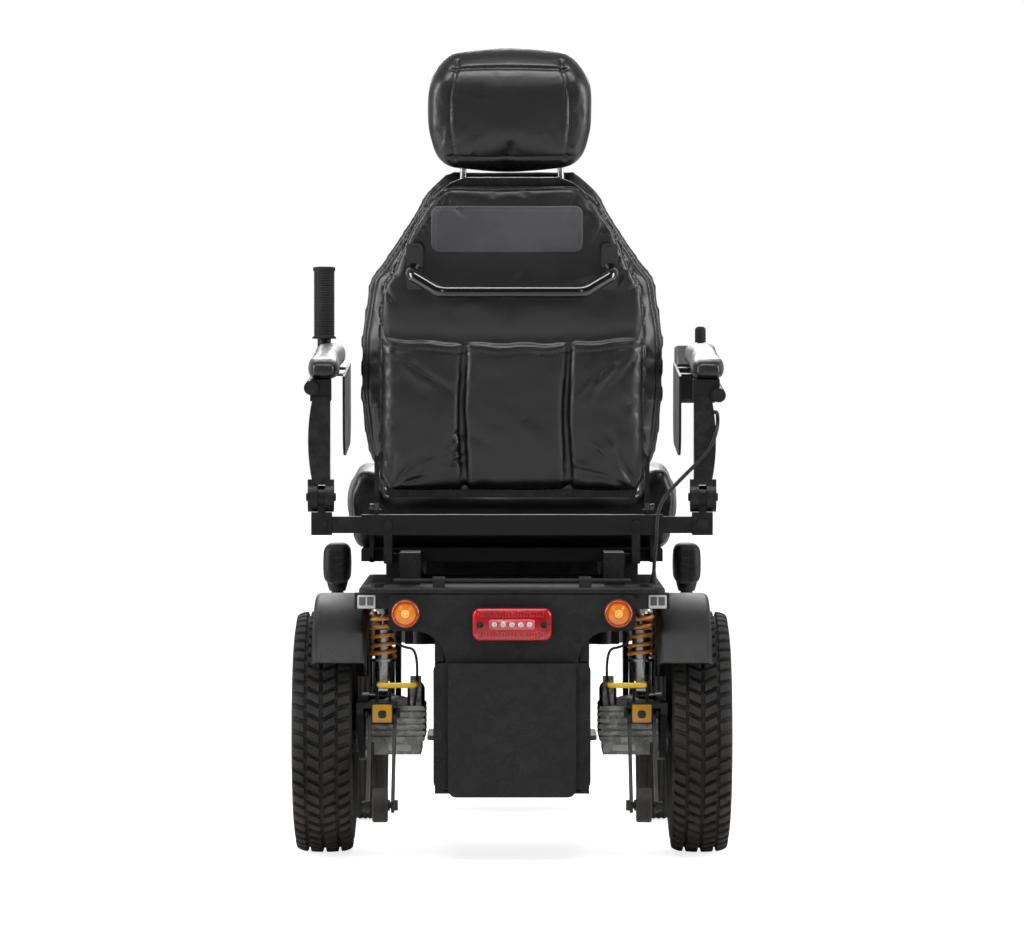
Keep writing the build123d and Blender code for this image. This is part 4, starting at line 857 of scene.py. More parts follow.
def softBox(name, low, high, radius, cuts, material, place=None):
    # a box with round edges and corners, ready to be puffed; place maps its points into the frame
    work = bmesh.new()
    bmesh.ops.create_cube(work, size=2.0)
    bmesh.ops.subdivide_edges(work, edges=work.edges[:], cuts=cuts, use_grid_fill=True)
    low, high = Vector(low), Vector(high)
    middle, half = (low + high) / 2, (high - low) / 2
    for vertex in work.verts:
        full = Vector(vertex.co[i] * half[i] for i in range(3))
        inner = Vector(min(max(full[i], radius - half[i]), half[i] - radius) for i in range(3))
        away = full - inner
        if away.length > 1e-9:
            full = inner + away.normalized() * radius
        vertex.co = middle + full
        if place:
            vertex.co = place(*vertex.co)
    mesh = bpy.data.meshes.new(name)
    work.to_mesh(mesh)
    work.free()
    piece = bpy.data.objects.new(name, mesh)
    bpy.context.collection.objects.link(piece)
    mesh.materials.append(material)
    return fixNormals(piece)


def readMesh(piece):
    # a mesh's points and normals as two arrays
    count = len(piece.data.vertices)
    points = np.zeros(count * 3)
    normals = np.zeros(count * 3)
    piece.data.vertices.foreach_get("co", points)
    piece.data.vertices.foreach_get("normal", normals)
    return points.reshape(-1, 3), normals.reshape(-1, 3)


def writeMesh(piece, points):
    piece.data.vertices.foreach_set("co", points.astype(np.float32).ravel())
    piece.data.update()


def surfaceOf(piece):
    # a search tree, to drop points onto the cloth
    return BVHTree.FromPolygons(
        [v.co.copy() for v in piece.data.vertices], [tuple(p.vertices) for p in piece.data.polygons]
    )


def dropOnto(tree, route, direction, lift=0.0):
    # each point moves along direction until it meets the surface, then lift back out
    direction = Vector(direction).normalized()
    out = []
    for point in route:
        hit = tree.ray_cast(point - direction * 0.3, direction)[0]
        if hit is None:
            hit = tree.find_nearest(point)[0]
        out.append(hit - direction * lift)
    return out


def pressLines(piece, lines, facing=None):
    # lines: (points, width, depth); a positive depth presses in, a negative one raises a fold
    points, normals = readMesh(piece)
    total = np.zeros(len(points))
    for route, width, depth, tapered in lines:
        best = np.full(len(points), 1e9)
        share = np.ones(len(points))
        spans = max(len(route) - 1, 1)
        for index in range(spans):
            a = np.array(route[index])
            d = np.array(route[index + 1]) - a
            t = np.clip(((points - a) @ d) / max(d @ d, 1e-12), 0, 1)
            away = np.linalg.norm(points - (a + t[:, None] * d), axis=1)
            closer = away < best
            best = np.where(closer, away, best)
            share = np.where(closer, (index + t) / spans, share)
        amount = np.exp(-((best / width) ** 2))
        if tapered:
            amount *= np.sin(np.pi * np.clip(share, 0, 1)) ** 0.7
        if facing is not None:
            amount *= np.clip(normals @ np.array(facing) * 2.0, 0, 1)
        total += amount * depth
    writeMesh(piece, points - normals * total[:, None])
    return piece


def ripple(piece, size, height, facing=None, seed=0.0, stretch=(1.0, 1.0, 1.0)):
    # uneven slack in the cloth
    points, normals = readMesh(piece)
    moves = np.zeros(len(points))
    for index, point in enumerate(points):
        place = Vector((point[0] * stretch[0], point[1] * stretch[1], point[2] * stretch[2])) / size
        moves[index] = noise.fractal(place + Vector((seed, seed * 1.7, seed * 0.6)), 1.0, 2.0, 3) * height
    if facing is not None:
        moves *= np.clip(normals @ np.array(facing) * 2.0, 0, 1)
    writeMesh(piece, points + normals * moves[:, None])
    return piece


def finishPad(piece, slotName, body, fill, *stoodFor):
    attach(piece, body)
    if stoodFor:
        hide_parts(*stoodFor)
    return piece


# the back: a padded cushion in front, and a cover with a pocket behind
backCushion = {
    "outline": [(0.199, 0.026), (0.221, 0.072), (0.229, 0.104), (0.2355, 0.165), (0.2355, 0.262), (0.229, 0.301),
                (0.220, 0.352), (0.201, 0.374), (0.160, 0.436), (0.131, 0.484), (0.098, 0.514)],
    "front": -0.080,
    "rear": -0.005,
    "swell": 0.010,  # most that the air moves the cloth
}
backCover = {
    "outline": [(0.192, 0.026), (0.205, 0.060), (0.206, 0.300), (0.201, 0.345), (0.184, 0.368), (0.160, 0.426),
                (0.131, 0.468), (0.106, 0.490), (0.088, 0.498)],
    "front": 0.0042,
    "rear": 0.0235,
    "swell": 0.006,
    "mouth": 0.266,  # height of the pocket's mouth along the back
    "mouthSag": 0.010,
    "pocketStep": 0.0030,
    "fullness": 0.0110,  # how far the cloth between the pleats stands out
    "upperFullness": 0.0040,
    "pleats": (-0.0725, 0.0815),
    "hemDrop": 0.012,  # the stitched hem lies this far below the mouth
}
backPatch = {
    "left": -0.119,
    "right": 0.104,
    "low": 0.392,
    "high": 0.461,
    "corner": 0.012,
    "thick": 0.0022,
}
finishes["patch_grey"] = dict(colour="4a4a4d", cloud="3f3f42", rough=(0.36, 0.48), grain=900, bump=0.0005, pores=900,
                              creases=60, coat=0.15)
finishes["thread_black"] = dict(colour="2e2e31", cloud="222225", rough=(0.5, 0.7), grain=3000, bump=0.0001)
made["patch_grey"] = makeFinish("patch_grey", finishes["patch_grey"])
made["thread_black"] = makeFinish("thread_black", finishes["thread_black"])
backOut = Vector((0.0, -math.cos(lean), -math.sin(lean)))


def edgeRoute(outline, inset, out):
    # a line round a padded piece, inset from its outline
    right = [onBack(w - inset, min(max(h, outline[0][1] + inset), outline[-1][1] - inset), out) for w, h in outline]
    left = [Vector((-p.x, p.y, p.z)) for p in reversed(right)]
    return resample(right + left + [right[0]], 0.004)


def makeBackCushion(look):
    cushion = crownedPad("back_cushion_cover", look["outline"], look["front"], look["rear"],
                         finishOf("leather_black"), crown=0.016, edge=0.32)
    puffed(cushion, 0.006, 4.0, look["swell"])
    subdivide(cushion)
    middle = (look["front"] + look["rear"]) / 2
    tree = surfaceOf(cushion)
    ring = edgeRoute(look["outline"], 0.0, middle)
    sideSeams = []
    for shift in (-0.024, 0.024):
        line = []
        for point in ring:
            inward = Vector((-point.x, 0, 0)).normalized()
            start = point + backOut * shift
            line.append(tree.find_nearest(start + inward * 0.002)[0])
        sideSeams.append(line)
    channels = []
    for across in (-0.105, 0.105):
        route = [onBack(across * (1 + 0.1 * math.sin(h * 9)), h, 0.0) for h in np.linspace(0.07, 0.44, 40)]
        channels.append(dropOnto(tree, route, backOut))
    for high in (0.165, 0.305):
        route = [onBack(x, high + 0.012 * math.cos(x * 14), 0.0) for x in np.linspace(-0.19, 0.19, 50)]
        channels.append(dropOnto(tree, route, backOut))
    lines = [(line, 0.0045, 0.0040, False) for line in sideSeams]
    lines += [(line, 0.0065, 0.0050, True) for line in channels]
    # pleats gathered at the sloping shoulders
    rng = random.Random(11)
    for side in (-1, 1):
        for step in range(9):
            t = (step + 0.5) / 9 + rng.uniform(-0.03, 0.03)
            a = onBack(side * (0.206 - 0.112 * t), 0.362 + 0.132 * t, -0.004)
            inward = Vector((-side * rng.uniform(0.018, 0.034), 0, -rng.uniform(0.024, 0.040)))
            fold = [a, a + inward * 0.5 + backOut * 0.002, a + inward]
            hit = [tree.find_nearest(p)[0] for p in fold]
            lines.append((hit, rng.uniform(0.0030, 0.0048), rng.choice((-1, 1)) * rng.uniform(0.0012, 0.0026), True))
    pressLines(cushion, lines)
    ripple(cushion, 0.080, 0.0010, seed=3.0)
    finishPad(cushion, "leather_black", "backrest", 0.8, "backrest_cushion")
    for number, line in enumerate(sideSeams):
        thread = stitches("back_cushion_thread_" + str(number), line, 0.0042, 0.0024, 0.0005,
                          finishOf("thread_black"))
        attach(thread, "backrest")
    return cushion


def makeBackCover(look):
    cover = crownedPad("back_cover", look["outline"], look["front"], look["rear"],
                       finishOf("leather_black"), crown=0.004, edge=0.22)
    puffed(cover, 0.0045, 4.0, look["swell"])
    subdivide(cover)

    def mouthAt(across):
        return look["mouth"] - look["mouthSag"] * (1 - (across / 0.20) ** 2) + 0.0012 * math.sin(across * 90)

    def pocket(across, high, out):
        if out < 0.012 or abs(across) > 0.197:
            return 0.0
        below = 1.0 - smooth(mouthAt(across) - 0.0018, mouthAt(across) + 0.0018, high)
        side = 1 - smooth(0.186, 0.197, abs(across))
        foot = smooth(0.030, 0.042, high)
        gape = bell(high - mouthAt(across), 0.045) * (1 - (across / 0.2) ** 2) * 0.0030
        hollow = -0.0022 * bell(high - mouthAt(across) - 0.012, 0.012) * (1 - below)
        edges = (-0.192, *look["pleats"], 0.192)
        full = 0.0
        for a, b in zip(edges, edges[1:]):
            if a < across < b:
                share = (2 * across - a - b) / (b - a)
                rise = math.sin(math.pi * min(max((high - 0.030) / (mouthAt(across) - 0.030), 0.0), 1.0))
                full = look["fullness"] * (1 - share ** 2) ** 0.75 * rise ** 0.55
        upper = look["upperFullness"] * bell(high - 0.305, 0.028) * (1 - (across / 0.2) ** 2)
        return (below * (look["pocketStep"] + gape + full) + hollow + upper) * side * foot

    moveOut(cover, pocket)
    tree = surfaceOf(cover)
    inward = -backOut

    def onCover(across, high):
        return dropOnto(tree, [onBack(across, high, 0.02)], inward)[0]

    rng = random.Random(5)
    edge = dropOnto(tree, edgeRoute(look["outline"], 0.012, 0.02), inward)
    lines = [(edge, 0.0030, 0.0020, False)]
    hem = [onCover(x, mouthAt(x) - look["hemDrop"]) for x in np.linspace(-0.188, 0.188, 96)]
    lines.append((hem, 0.0022, 0.0012, False))
    for across in look["pleats"]:
        pleat = [onCover(across + 0.0025 * math.sin(h * 31), h)
                 for h in np.linspace(0.030, mouthAt(across) - 0.004, 50)]
        lines.append((pleat, 0.0018, 0.0022, False))
        lines.append((pleat, 0.0075, 0.0050, False))
        beside = [p + Vector((0.0110, 0, 0)) for p in pleat]
        lines.append((beside, 0.0080, -0.0020, True))
    # a pucker where the left pleat is bunched
    for step in range(4):
        high = 0.078 + step * 0.014
        pucker = [onCover(-0.094 + 0.002 * step, high), onCover(-0.080, high + 0.005), onCover(-0.066, high + 0.001)]
        lines.append((pucker, 0.0040, rng.choice((-1, 1)) * 0.0021, True))
    # creases that spread from the lower corners and hang from the pocket's ends
    for side in (-1, 1):
        for step in range(8):
            angle = math.radians(6 + step * 10 + rng.uniform(-4, 4))
            long = rng.uniform(0.045, 0.115)
            a = (side * (0.188 - rng.uniform(0.0, 0.012)), 0.036 + rng.uniform(0.0, 0.020))
            b = (a[0] - side * long * math.cos(angle), a[1] + long * math.sin(angle))
            crease = [onCover(a[0] + (b[0] - a[0]) * t, a[1] + (b[1] - a[1]) * t + 0.004 * math.sin(t * 3.1))
                      for t in np.linspace(0, 1, 9)]
            lines.append((crease, rng.uniform(0.0035, 0.0065), rng.choice((-1, 1)) * rng.uniform(0.0010, 0.0024), True))
        for step in range(6):
            a = (side * (0.190 - 0.012 * step), mouthAt(0.19) - 0.016 - 0.006 * step)
            b = (a[0] - side * rng.uniform(0.03, 0.06), a[1] - rng.uniform(0.02, 0.06))
            crease = [onCover(a[0] + (b[0] - a[0]) * t, a[1] + (b[1] - a[1]) * t) for t in np.linspace(0, 1, 6)]
            lines.append((crease, rng.uniform(0.004, 0.007), rng.choice((-1, 1)) * rng.uniform(0.0008, 0.0020), True))
        for step in range(7):
            t = step / 6
            a = (side * (0.196 - 0.100 * t), 0.352 + 0.128 * t)
            b = (a[0] - side * rng.uniform(0.012, 0.028), a[1] - rng.uniform(0.020, 0.045))
            crease = [onCover(a[0] + (b[0] - a[0]) * s, a[1] + (b[1] - a[1]) * s) for s in np.linspace(0, 1, 6)]
            lines.append((crease, rng.uniform(0.003, 0.005), rng.choice((-1, 1)) * rng.uniform(0.0008, 0.0018), True))
    for step in range(14):
        a = (rng.uniform(-0.16, 0.16), rng.uniform(0.05, 0.36))
        turn = rng.uniform(-0.7, 0.7) + (math.pi / 2 if rng.random() < 0.35 else 0)
        long = rng.uniform(0.05, 0.12)
        b = (max(min(a[0] + long * math.cos(turn), 0.185), -0.185), max(min(a[1] + long * math.sin(turn), 0.37), 0.04))
        crease = [onCover(a[0] + (b[0] - a[0]) * s, a[1] + (b[1] - a[1]) * s + 0.003 * math.sin(s * 4))
                  for s in np.linspace(0, 1, 8)]
        lines.append((crease, rng.uniform(0.006, 0.012), rng.choice((-1, 1)) * rng.uniform(0.0006, 0.0014), True))
    pressLines(cover, lines, facing=tuple(backOut))
    ripple(cover, 0.085, 0.0022, facing=tuple(backOut), seed=8.0)
    finishPad(cover, "leather_black", "backrest", 0.7, "back_panel")
    tree = surfaceOf(cover)
    rows = {"hem": hem, "edge": edge}
    for label, line in rows.items():
        settled = dropOnto(tree, line, inward, 0.0003)
        thread = stitches("back_cover_thread_" + label, settled, 0.0042, 0.0026, 0.0006, finishOf("thread_black"))
        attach(thread, "backrest")
    return tree


def makeBackPatch(look, tree):
    # a blank stitched patch near the top of the cover
    inward = -backOut
    wide = look["right"] - look["left"]
    tall = look["high"] - look["low"]
    middle = ((look["left"] + look["right"]) / 2, (look["low"] + look["high"]) / 2)

    def rim(inset, steps=14):
        corner = look["corner"] - inset * 0.6
        route = []
        for quarter, (sx, sy) in enumerate(((1, 1), (-1, 1), (-1, -1), (1, -1))):
            for step in range(steps + 1):
                angle = math.pi / 2 * (quarter + step / steps)
                route.append((
                    middle[0] + sx * (wide / 2 - inset - corner) + corner * math.cos(angle),
                    middle[1] + sy * (tall / 2 - inset - corner) + corner * math.sin(angle),
                ))
        return route

    columns, rows = 90, 30
    points = []
    for row in range(rows + 1):
        for column in range(columns + 1):
            x = wide * (column / columns - 0.5)
            h = tall * (row / rows - 0.5)
            cornerX, cornerH = wide / 2 - look["corner"], tall / 2 - look["corner"]
            if abs(x) > cornerX and abs(h) > cornerH:
                away = Vector((abs(x) - cornerX, abs(h) - cornerH))
                reach = max(away.x, away.y)
                away = away.normalized() * reach
                x, h = math.copysign(cornerX + away.x, x), math.copysign(cornerH + away.y, h)
                inside = look["corner"] - reach
            else:
                inside = min(wide / 2 - abs(x), tall / 2 - abs(h))
            lift = look["thick"] - 0.0006 * bell(inside - 0.0048, 0.0009)
            lift -= 0.0012 * (1 - smooth(0.0, 0.0010, inside))
            points += dropOnto(tree, [onBack(middle[0] + x, middle[1] + h, 0.03)], inward, lift)
    faces = gridFaces(rows + 1, columns + 1)
    patch = newPiece("back_patch", points, faces, finishOf("patch_grey"))
    addModifier(patch, "SOLIDIFY", thickness=0.0014, offset=-1)
    applyModifiers(patch)
    fixNormals(patch)
    subdivide(patch)
    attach(patch, "backrest")
    route = dropOnto(tree, [onBack(x, h, 0.03) for x, h in rim(0.0048) + [rim(0.0048)[0]]], inward, 0.0014)
    thread = stitches("back_patch_thread", resample(route, 0.003), 0.0036, 0.0022, 0.0005, finishOf("thread_black"))
    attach(thread, "backrest")


makeBackCushion(backCushion)
print("back cushion made")
coverTree = makeBackCover(backCover)
makeBackPatch(backPatch, coverTree)
print("back cover made")


# headrest
headPad = {
    "low": (-0.1235, 0.5155, -0.070),  # across, up the back, out
    "high": (0.1165, 0.6800, 0.031),
    "radius": 0.030,
    "topNarrow": 0.86,  # share of the width left at the top corners
    "footNarrow": 0.90,
    "swell": 0.010,
    "sidePanel": 0.088,  # the seams of the side panels lie this far from the middle
    "topPanel": 0.660,
}


def makeHeadPad(look):
    middleX = (look["low"][0] + look["high"][0]) / 2
    half = (look["high"][0] - look["low"][0]) / 2
    low, high = look["low"][1], look["high"][1]

    def shape(across, level, out):
        t = (level - low) / (high - low)
        taper = look["footNarrow"] + (1 - look["footNarrow"]) * smooth(0.0, 0.42, t)
        if t > 0.62:
            taper = 1 - (1 - look["topNarrow"]) * smooth(0.62, 1.02, t)
        # the pad is thinner towards its top and rolls forward
        roll = -0.022 * smooth(0.70, 1.0, t) + 0.004 * math.sin(math.pi * t)
        share = (across - middleX) / half
        arch = 0.0045 * (1 - share ** 2) * (1 if t > 0.5 else -0.3)
        return onBack(middleX + (across - middleX) * taper, level + arch * abs(2 * t - 1), out + roll)

    pad = softBox("headrest_cover", look["low"], look["high"], look["radius"], 22, finishOf("leather_black"), shape)
    puffed(pad, 0.005, 4.0, look["swell"])
    subdivide(pad)
    tree = surfaceOf(pad)
    inward = -backOut
    lines = []
    seams = []
    for side in (-1, 1):
        route = [onBack(middleX + side * (look["sidePanel"] - 0.012 * smooth(0.62, 1.0,
                                                                             t) - 0.006 * (1 - smooth(0, 0.4, t))),
                        low + 0.012 + (high - low - 0.020) * t, 0.03) for t in np.linspace(0, 1, 44)]
        seams.append(dropOnto(tree, route, inward))
    across = [onBack(middleX + x, look["topPanel"] + 0.003 * math.cos(x * 16), 0.03)
              for x in np.linspace(-0.083, 0.083, 40)]
    seams.append(dropOnto(tree, across, inward))
    across = [onBack(middleX + x, low + 0.017 - 0.002 * math.cos(x * 18), 0.03)
              for x in np.linspace(-0.088, 0.088, 40)]
    seams.append(dropOnto(tree, across, inward))
    for line in seams:
        lines.append((line, 0.0030, 0.0030, False))
    rng = random.Random(21)
    for side in (-1, 1):
        for step in range(7):
            foldFoot = low + 0.018 + rng.uniform(0, 0.030)
            a = onBack(middleX + side * (0.060 + 0.007 * step), foldFoot - 0.006, 0.03)
            b = onBack(a.x - side * rng.uniform(0.006, 0.022), foldFoot + rng.uniform(0.014, 0.036), 0.03)
            fold = dropOnto(tree, [a, a.lerp(b, 0.5), b], inward)
            lines.append((fold, rng.uniform(0.003, 0.005), rng.choice((-1, 1)) * rng.uniform(0.0008, 0.0016), True))
    pressLines(pad, lines)
    ripple(pad, 0.090, 0.0008, seed=14.0)
    finishPad(pad, "leather_black", "headrest", 0.85, "headrest_pad")
    tree = surfaceOf(pad)
    for number, line in enumerate(seams):
        for shift in (-0.0035, 0.0035):
            if number < 2:
                beside = [p + Vector((shift, 0, 0)) for p in line]
            else:
                beside = [p + Vector((0, 0, shift)) for p in line]
            settled = dropOnto(tree, beside, inward, 0.0002)
            thread = stitches("headrest_thread_{}_{}".format(number, int(shift > 0)), settled, 0.0040, 0.0024, 0.0005,
                              finishOf("thread_black"))
            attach(thread, "headrest")


makeHeadPad(headPad)
print("headrest made")

# seat cushion: a flat middle with raised bolsters
seatPad = {
    "low": (-0.246, -0.2135, 0.4468),
    "high": (0.246, 0.1835, 0.524),
    "bolsterRise": 0.046,
    "bolsterInner": 0.196,
    "radius": 0.020,
    "swell": 0.008,
    "channels": (-0.09, 0.03),
}


def makeSeatPad(look):
    low, high = look["low"], look["high"]

    def shape(across, along, level):
        t = (level - low[2]) / (high[2] - low[2])
        bolster = smooth(look["bolsterInner"] - 0.010, look["bolsterInner"] + 0.016, abs(across))
        outer = 1 - 0.35 * smooth(0.228, 0.246, abs(across))
        front = 1 - 0.5 * smooth(high[1] - 0.10, high[1], along)
        raised = look["bolsterRise"] * bolster * outer * front
        crown = -0.004 * (1 - (across / 0.2) ** 2) if abs(across) < 0.2 else 0.0
        fall = -0.020 * smooth(high[1] - 0.05, high[1], along)
        return Vector((across, along, level + t * (raised + crown + fall)))

    pad = softBox("seat_cushion_cover", low, high, look["radius"], 34, finishOf("leather_black"), shape)
    puffed(pad, 0.006, 4.0, look["swell"])
    subdivide(pad)
    tree = surfaceOf(pad)
    down = Vector((0, 0, -1))
    seams = []
    for side in (-1, 1):
        route = [Vector((side * (look["bolsterInner"] - 0.008), y, 0.6))
                 for y in np.linspace(low[1] + 0.02, high[1] - 0.01, 70)]
        seams.append(dropOnto(tree, route, down))
    for along in look["channels"]:
        route = [Vector((x, along + 0.006 * math.cos(x * 12), 0.6)) for x in np.linspace(-0.186, 0.186, 60)]
        seams.append(dropOnto(tree, route, down))
    lines = [(line, 0.0050, 0.0052, False) for line in seams]
    piping = []
    for side in (-1, 1):
        route = [Vector((side * 0.30, y, low[2] + 0.022)) for y in np.linspace(low[1] + 0.012, high[1] - 0.012, 60)]
        piping.append(dropOnto(tree, route, Vector((-side, 0, 0))))
    lines += [(line, 0.0035, 0.0028, False) for line in piping]
    pressLines(pad, lines)
    ripple(pad, 0.070, 0.0018, seed=31.0)
    # the cover lies flat where it rests on the seat pan
    points, normals = readMesh(pad)
    points[:, 2] = np.maximum(points[:, 2], 0.4455)
    writeMesh(pad, points)
    finishPad(pad, "leather_black", "chassis", 0.75, "seat_cushion")
    tree = surfaceOf(pad)
    for number, line in enumerate(seams):
        step = Vector((0.0045, 0, 0)) if number < 2 else Vector((0, 0.0045, 0))
        for sign in (-1, 1):
            settled = dropOnto(tree, [p + step * sign for p in line], down, 0.0002)
            thread = stitches("seat_thread_{}_{}".format(number, int(sign > 0)), settled, 0.0042, 0.0026, 0.0005,
                              finishOf("thread_black"))
            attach(thread, "chassis")


makeSeatPad(seatPad)
print("seat cushion made")

# armrest pads
armPads = {
    "right": {"low": (0.2625, 0.003, 0.0012), "high": (0.3150, 0.347, 0.0315)},
    "left": {"low": (-0.3030, 0.003, 0.0012), "high": (-0.2535, 0.347, 0.0315)},
    "radius": 0.0115,
    "swell": 0.004,
}


def makeArmPad(look, sideName):
    low, high = look[sideName]["low"], look[sideName]["high"]
    middle = (low[0] + high[0]) / 2

    def shape(across, ahead, level):
        t = (level - low[2]) / (high[2] - low[2])
        nose = smooth(0.0, 0.035, ahead - low[1]) * smooth(0.0, 0.035, high[1] - ahead)
        narrow = 0.80 + 0.20 * nose
        top = 1 - 0.14 * t * abs((across - middle) / (high[0] - middle)) ** 2
        return onArm(middle + (across - middle) * narrow * top, ahead, level - 0.004 * t * (1 - nose))

    pad = softBox("arm_pad_cover_" + sideName, low, high, look["radius"], 20, finishOf("leather_black"), shape)
    puffed(pad, 0.004, 4.0, look["swell"])
    subdivide(pad)
    tree = surfaceOf(pad)
    lines = []
    seams = []
    for side in (-1, 1):
        wide = abs(high[0] - low[0]) / 2
        route = [onArm(middle + side * (wide + 0.05), a, 0.0085) for a in np.linspace(0.014, 0.336, 70)]
        seams.append(dropOnto(tree, route, Vector((-side, 0, 0))))
    for line in seams:
        lines.append((line, 0.0024, 0.0016, False))
    pressLines(pad, lines)
    ripple(pad, 0.040, 0.0008, seed=5.0 if sideName == "left" else 9.0)
    finishPad(pad, "leather_black", "armrest_" + sideName, 0.8, "arm_pad_" + sideName)
    for number, line in enumerate(seams):
        thread = stitches("arm_thread_{}_{}".format(sideName, number), line, 0.0038, 0.0022, 0.0005,
                          finishOf("thread_black"))
        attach(thread, "armrest_" + sideName)


for sideName in ("right", "left"):
    makeArmPad(armPads, sideName)
print("armrest pads made")

# ribbed hand grip on the left armrest
handGrip = {"place": (-0.291, 0.0007), "foot": 0.7612, "head": 0.8728, "radius": 0.0156, "ribs": 26, "flange": 0.0184}


def makeHandGrip(look):
    profile = [(0.0108, 0.0), (look["flange"], 0.0003), (look["flange"] + 0.0002, 0.0026), (look["radius"], 0.0048)]
    start, end = 0.0070, look["head"] - look["foot"] - 0.0075
    for rib in range(look["ribs"]):
        for share, radius in ((0.10, 0.0), (0.30, 0.0008), (0.60, 0.0008), (0.85, 0.0)):
            profile.append((look["radius"] - 0.0002 + radius, start + (end - start) * (rib + share) / look["ribs"]))
    tall = look["head"] - look["foot"]
    profile += [(look["radius"] + 0.0016, tall - 0.0058), (look["radius"] + 0.0018, tall - 0.0020),
                (look["radius"] + 0.0004, tall - 0.0004), (0.0100, tall + 0.0004), (0.0035, tall - 0.0008),
                (0.0005, tall - 0.0009)]
    grip = turned("ribbed_hand_grip", profile, (*look["place"], look["foot"]), (0, 0, 1), finishOf("grip_rubber"), 72)
    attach(grip, "armrest_left")
    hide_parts("hand_grip")


makeHandGrip(handGrip)
print("hand grip made")


# lamps, made as rounded plates that step outwards from their mount
finishes["lens_amber"] = dict(colour="f08a14", cloud="d96f0c", rough=(0.08, 0.16), grain=500, bump=0.0001, coat=1.0,
                              coatRough=0.03, glow="ff8a10", glowStrength=0.10)
finishes["rim_orange"] = dict(colour="c2410f", cloud="9c2d0a", rough=(0.12, 0.22), grain=600, bump=0.0001, coat=1.0,
                              coatRough=0.05)
finishes["bulb_bright"] = dict(colour="ffd07a", cloud="ffb347", rough=(0.10, 0.20), grain=900, bump=0.0001, coat=1.0,
                               glow="ffb050", glowStrength=0.25)
finishes["strip_clear"] = dict(colour="d8565a", cloud="b53a40", rough=(0.10, 0.2), grain=900, bump=0.0001, coat=1.0)
finishes["label_pale"] = dict(colour="cfcfcb", cloud="bdbdb9", rough=(0.42, 0.55), grain=1200, bump=0.0001, dust=0.06)
finishes["label_amber"] = dict(colour="e6ab12", cloud="cf9408", rough=(0.25, 0.36), grain=1200, bump=0.0001, coat=0.6)
finishes["label_dark"] = dict(colour="1d1a12", cloud="141210", rough=(0.3, 0.4), grain=1200, bump=0.0001)
finishes["lens_clear"] = dict(colour="c8ccd0", cloud="b4b8bc", rough=(0.06, 0.14), grain=600, bump=0.0001, coat=1.0)
for name in ("lens_amber", "rim_orange", "bulb_bright", "strip_clear", "label_pale", "label_amber", "label_dark",
             "lens_clear"):
    made[name] = makeFinish(name, finishes[name])


def plateRing(middle, wide, tall, corner, inset, depth, way=-1, steps=8):
    # one rounded rectangle round the middle, facing along Y
    ring = []
    corner = max(corner - inset, 0.0004)
    halfWide = wide / 2 - inset - corner
    halfTall = tall / 2 - inset - corner
    for quarter, (sx, sz) in enumerate(((1, 1), (-1, 1), (-1, -1), (1, -1))):
        for step in range(steps + 1):
            angle = math.pi / 2 * (quarter + step / steps)
            ring.append(Vector((
                middle[0] + sx * halfWide + corner * math.cos(angle),
                middle[1] + way * depth,
                middle[2] + sz * halfTall + corner * math.sin(angle),
            )))
    return ring


def roundedPlate(middle, wide, tall, corner, levels, way=-1, steps=8):
    points = []
    for inset, depth in levels:
        points += plateRing(middle, wide, tall, corner, inset, depth, way, steps)
    count = 4 * (steps + 1)
    faces = gridFaces(len(levels), count, closed=True)
    last = (len(levels) - 1) * count
    faces.append(tuple(range(last, last + count)))
    faces.append(tuple(range(count))[::-1])
    return points, faces


def putOn(piece, slotName, body, *stoodFor):
    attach(piece, body)
    if stoodFor:
        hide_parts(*stoodFor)
    return piece


tailLamp = {
    "middle": (0.0, -0.4925, 0.345),
    "baseSize": (0.110, 0.044),
    "lensSize": (0.1145, 0.0475),
    "baseDepth": 0.0172,
    "lensDepth": 0.0300,
    "corner": 0.009,
    "ribs": 21,
    "screwAt": 0.046,
    "stripSize": (0.066, 0.015),
    "dots": 5,
}


